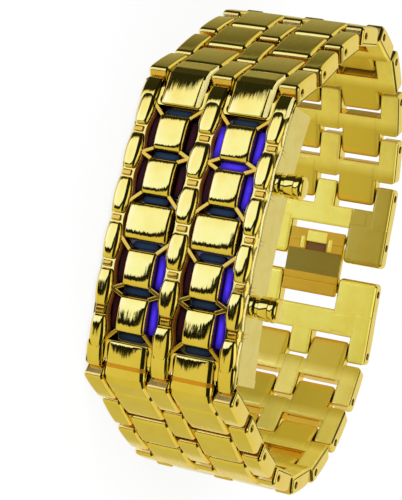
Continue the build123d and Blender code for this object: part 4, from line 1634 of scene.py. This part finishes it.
class WATCH_OT_stage(bpy.types.Operator):
    """The camera, the floor, the lamps and the reflected surroundings."""
    bl_idname = "watch.stage"
    bl_label = "Stage"

    def execute(self, context):
        self.camera(context.scene)
        self.world(context.scene)
        self.floor()
        self.tent()
        self.lamps()
        context.scene.view_settings.view_transform = "Standard"
        return {"FINISHED"}

    def camera(self, scene):
        """The photograph's view: far away, a little above, from the side of the pushers."""
        data = bpy.data.cameras.new("camera")
        data.sensor_fit = "HORIZONTAL"
        data.sensor_width = 36.0
        data.lens = 167.2
        data.clip_start = 0.01
        item = bpy.data.objects.new("camera", data)
        scene.collection.objects.link(item)
        stand = head_frame() @ (Vector((-22.2, 272.9, 124.3)) * MM)
        right = Vector((-0.2073, 0.3821, 0.9006)).normalized()
        up = Vector((-0.9761, -0.1418, -0.1645)).normalized()
        back = Vector((0.0648, -0.9132, 0.4024)).normalized()
        turn = Matrix((right, up, back)).transposed()
        item.matrix_world = Matrix.Translation(stand) @ turn.to_4x4()
        scene.camera = item

    def world(self, scene):
        """White for what the camera and the metal see of it, a plain light grey otherwise."""
        world = bpy.data.worlds.new("surroundings")
        scene.world = world
        nodes = Nodes(world)
        seen = None
        for name in ("Is Camera Ray", "Is Glossy Ray", "Is Transmission Ray"):
            ray = nodes.node("ShaderNodeLightPath", output=name)
            seen = ray if seen is None else nodes.node(
                "ShaderNodeMath", {"operation": "MAXIMUM"}, {0: seen, 1: ray})
        white = nodes.node("ShaderNodeBackground", None, {"Color": (1, 1, 1), "Strength": 1.0})
        grey = nodes.node("ShaderNodeBackground", None, {"Color": (1, 1, 1), "Strength": 0.6})
        both = nodes.node("ShaderNodeMixShader", None, {0: seen, 1: grey, 2: white})
        nodes.node("ShaderNodeOutputWorld", None, {"Surface": both})

    def stage_piece(self, name, points, faces, material):
        """A piece of the stage, which isn't part of the watch."""
        mesh = bpy.data.meshes.new(name)
        mesh.from_pydata(points, [], faces)
        mesh.materials.append(material)
        item = bpy.data.objects.new(name, mesh)
        bpy.context.scene.collection.objects.link(item)
        return item

    def floor(self):
        """A white floor that keeps a soft shadow of the watch."""
        material = bpy.data.materials.new("white_floor")
        nodes = Nodes(material)
        seen = nodes.node("ShaderNodeLightPath", output="Is Camera Ray")
        paper = nodes.node("ShaderNodeBsdfDiffuse", None, {"Color": (0.9, 0.9, 0.9)})
        glow = nodes.node("ShaderNodeEmission", None, {"Color": (1, 1, 1), "Strength": 1.0})
        whitened = 0.86
        both = nodes.node("ShaderNodeMixShader", None, {0: seen * whitened, 1: paper, 2: glow})
        nodes.node("ShaderNodeOutputMaterial", None, {"Surface": both})
        reach = 6.0
        z = cad_box[0].z - 0.2 * MM
        corners = [(-reach, -reach, z), (reach, -reach, z), (reach, reach, z), (-reach, reach, z)]
        item = self.stage_piece("floor", corners, [(0, 1, 2, 3)], material)
        item.visible_glossy = False

    def tent(self):
        """A tent of pale and dark panels, seen only in the polished metal."""
        material = bpy.data.materials.new("tent_panels")
        nodes = Nodes(material)
        spot = nodes.node("ShaderNodeTexCoord", output="Object")
        aim = nodes.node("ShaderNodeVectorMath", {"operation": "NORMALIZE"}, {0: spot})
        x, y, z = (nodes.node("ShaderNodeSeparateXYZ", None, {0: aim}, output=axis)
                   for axis in "XYZ")
        turn = nodes.node("ShaderNodeMath", {"operation": "ARCTAN2"}, {0: x, 1: 0.0 - y})
        rise = nodes.node("ShaderNodeMath", {"operation": "ARCSINE"}, {0: z})
        turn = turn * (180 / math.pi)
        rise = rise * (180 / math.pi)
        slant = turn + nodes.spread(rise, -24, 6, 0.0, 24.0)

        # Each panel has its range around and its range of rise, both in degrees as from, to and
        # softness, and one tone or two that it fades between. A later panel hangs in front.
        dark = (0.013, 0.014, 0.014)
        brown = (0.1, 0.08, 0.05)
        panels = (
            (slant, (-40, 9, 2), (-90, -2, 2), (1.08, 1.12, 1.7), (1.08, 1.3, 2.9)),
            (slant, (-40, 9, 2), (-90, -36, 9), (1.15, 1.35, 4.2), None),
            (slant, (9, 24, 1), (-70, 5, 3), (0.012, 0.012, 0.012), None),
            (slant, (23, 142, 2), (-70, 5, 4), (0.78, 0.72, 0.42), (0.62, 0.57, 0.26)),
            (turn, (-105, -40, 3), (-65, 5, 4), (0.05, 0.05, 0.03), (0.02, 0.022, 0.02)),
            (turn, (-100, 60, 6), (2, 68, 3), dark, None),
            (turn, (60, 100, 6), (8, 68, 3), dark, None),
            (turn, (-200, -105, 5), (-60, 5, 5), (1.08, 1.02, 0.56), (0.08, 0.08, 0.05)),
            (turn, (-205, -100, 5), (42, 68, 4), brown, None),
            (turn, (100, 205, 5), (42, 68, 4), brown, None))
        floor_near, floor_far, roof = (1.0, 0.95, 0.8), (0.85, 0.8, 0.65), (1.15, 1.1, 1.1)
        level = nodes.mix(nodes.spread(rise, -90, -60), floor_near, floor_far)
        for way, around, height, first, last in panels:
            mask = nodes.between(way, *around) * nodes.between(rise, *height)
            tone = nodes.mix(nodes.spread(way, *around[:2]), first, last) if last else first
            level = nodes.mix(mask, level, tone)
        level = nodes.mix(nodes.spread(rise, 68, 73), level, roof)
        glow = nodes.node("ShaderNodeEmission", None, {"Color": level, "Strength": 1.0})
        nodes.node("ShaderNodeOutputMaterial", None, {"Surface": glow})
        radius = 2.0
        pole = 0.1 * MM
        profile = [(max(pole, radius * math.cos(angle)), radius * math.sin(angle))
                   for angle in np.linspace(-math.pi / 2, math.pi / 2, 24)]
        item = self.stage_piece("tent", *lathe(profile, 48), material)
        item.visible_camera = False
        item.visible_diffuse = False
        item.visible_shadow = False
        item.visible_transmission = False

    def lamps(self):
        """Two large soft lamps, aimed at the middle of the watch."""
        side = 0.9
        for name, spot, power in (("key_lamp", (-0.5, -0.9, 1.1), 14.0),
                                  ("fill_lamp", (0.9, 0.3, 0.9), 6.0)):
            data = bpy.data.lights.new(name, "AREA")
            data.shape = "SQUARE"
            data.size = side
            data.energy = power
            item = bpy.data.objects.new(name, data)
            bpy.context.scene.collection.objects.link(item)
            item.location = spot
            item.rotation_euler = (-Vector(spot)).to_track_quat("-Z", "Y").to_euler()
            item.visible_glossy = False
            item.visible_camera = False


STEPS = (WATCH_OT_stage, WATCH_OT_case, WATCH_OT_blocks, WATCH_OT_beads, WATCH_OT_ribs,
         WATCH_OT_end_blocks, WATCH_OT_bars, WATCH_OT_links, WATCH_OT_clasp, WATCH_OT_latch,
         WATCH_OT_pushers, WATCH_OT_kept)


class WATCH_PT_panel(bpy.types.Panel):
    """The steps that build the watch, with their sizes and finishes."""
    bl_idname = "WATCH_PT_panel"
    bl_label = "Bracelet watch"
    bl_space_type = "VIEW_3D"
    bl_region_type = "UI"
    bl_category = "Watch"

    def draw(self, context):
        for step in STEPS:
            self.layout.operator(step.bl_idname)
        for group in (context.scene.watch_sizes, context.scene.watch_finishes):
            for name in group.__annotations__:
                self.layout.prop(group, name)


CLASSES = (WatchSizes, WatchFinishes, *STEPS, WATCH_PT_panel)


def register():
    """Adds the panel, its steps and their settings."""
    for item in CLASSES:
        bpy.utils.register_class(item)
    bpy.types.Scene.watch_sizes = PointerProperty(type=WatchSizes)
    bpy.types.Scene.watch_finishes = PointerProperty(type=WatchFinishes)


def unregister():
    """Takes away what register adds."""
    del bpy.types.Scene.watch_finishes
    del bpy.types.Scene.watch_sizes
    for item in reversed(CLASSES):
        bpy.utils.unregister_class(item)


def main():
    """Builds the watch and its stage."""
    register()
    for step in STEPS:
        group, name = step.bl_idname.split(".")
        getattr(getattr(bpy.ops, group), name)()


if __name__ == "__main__":
    main()
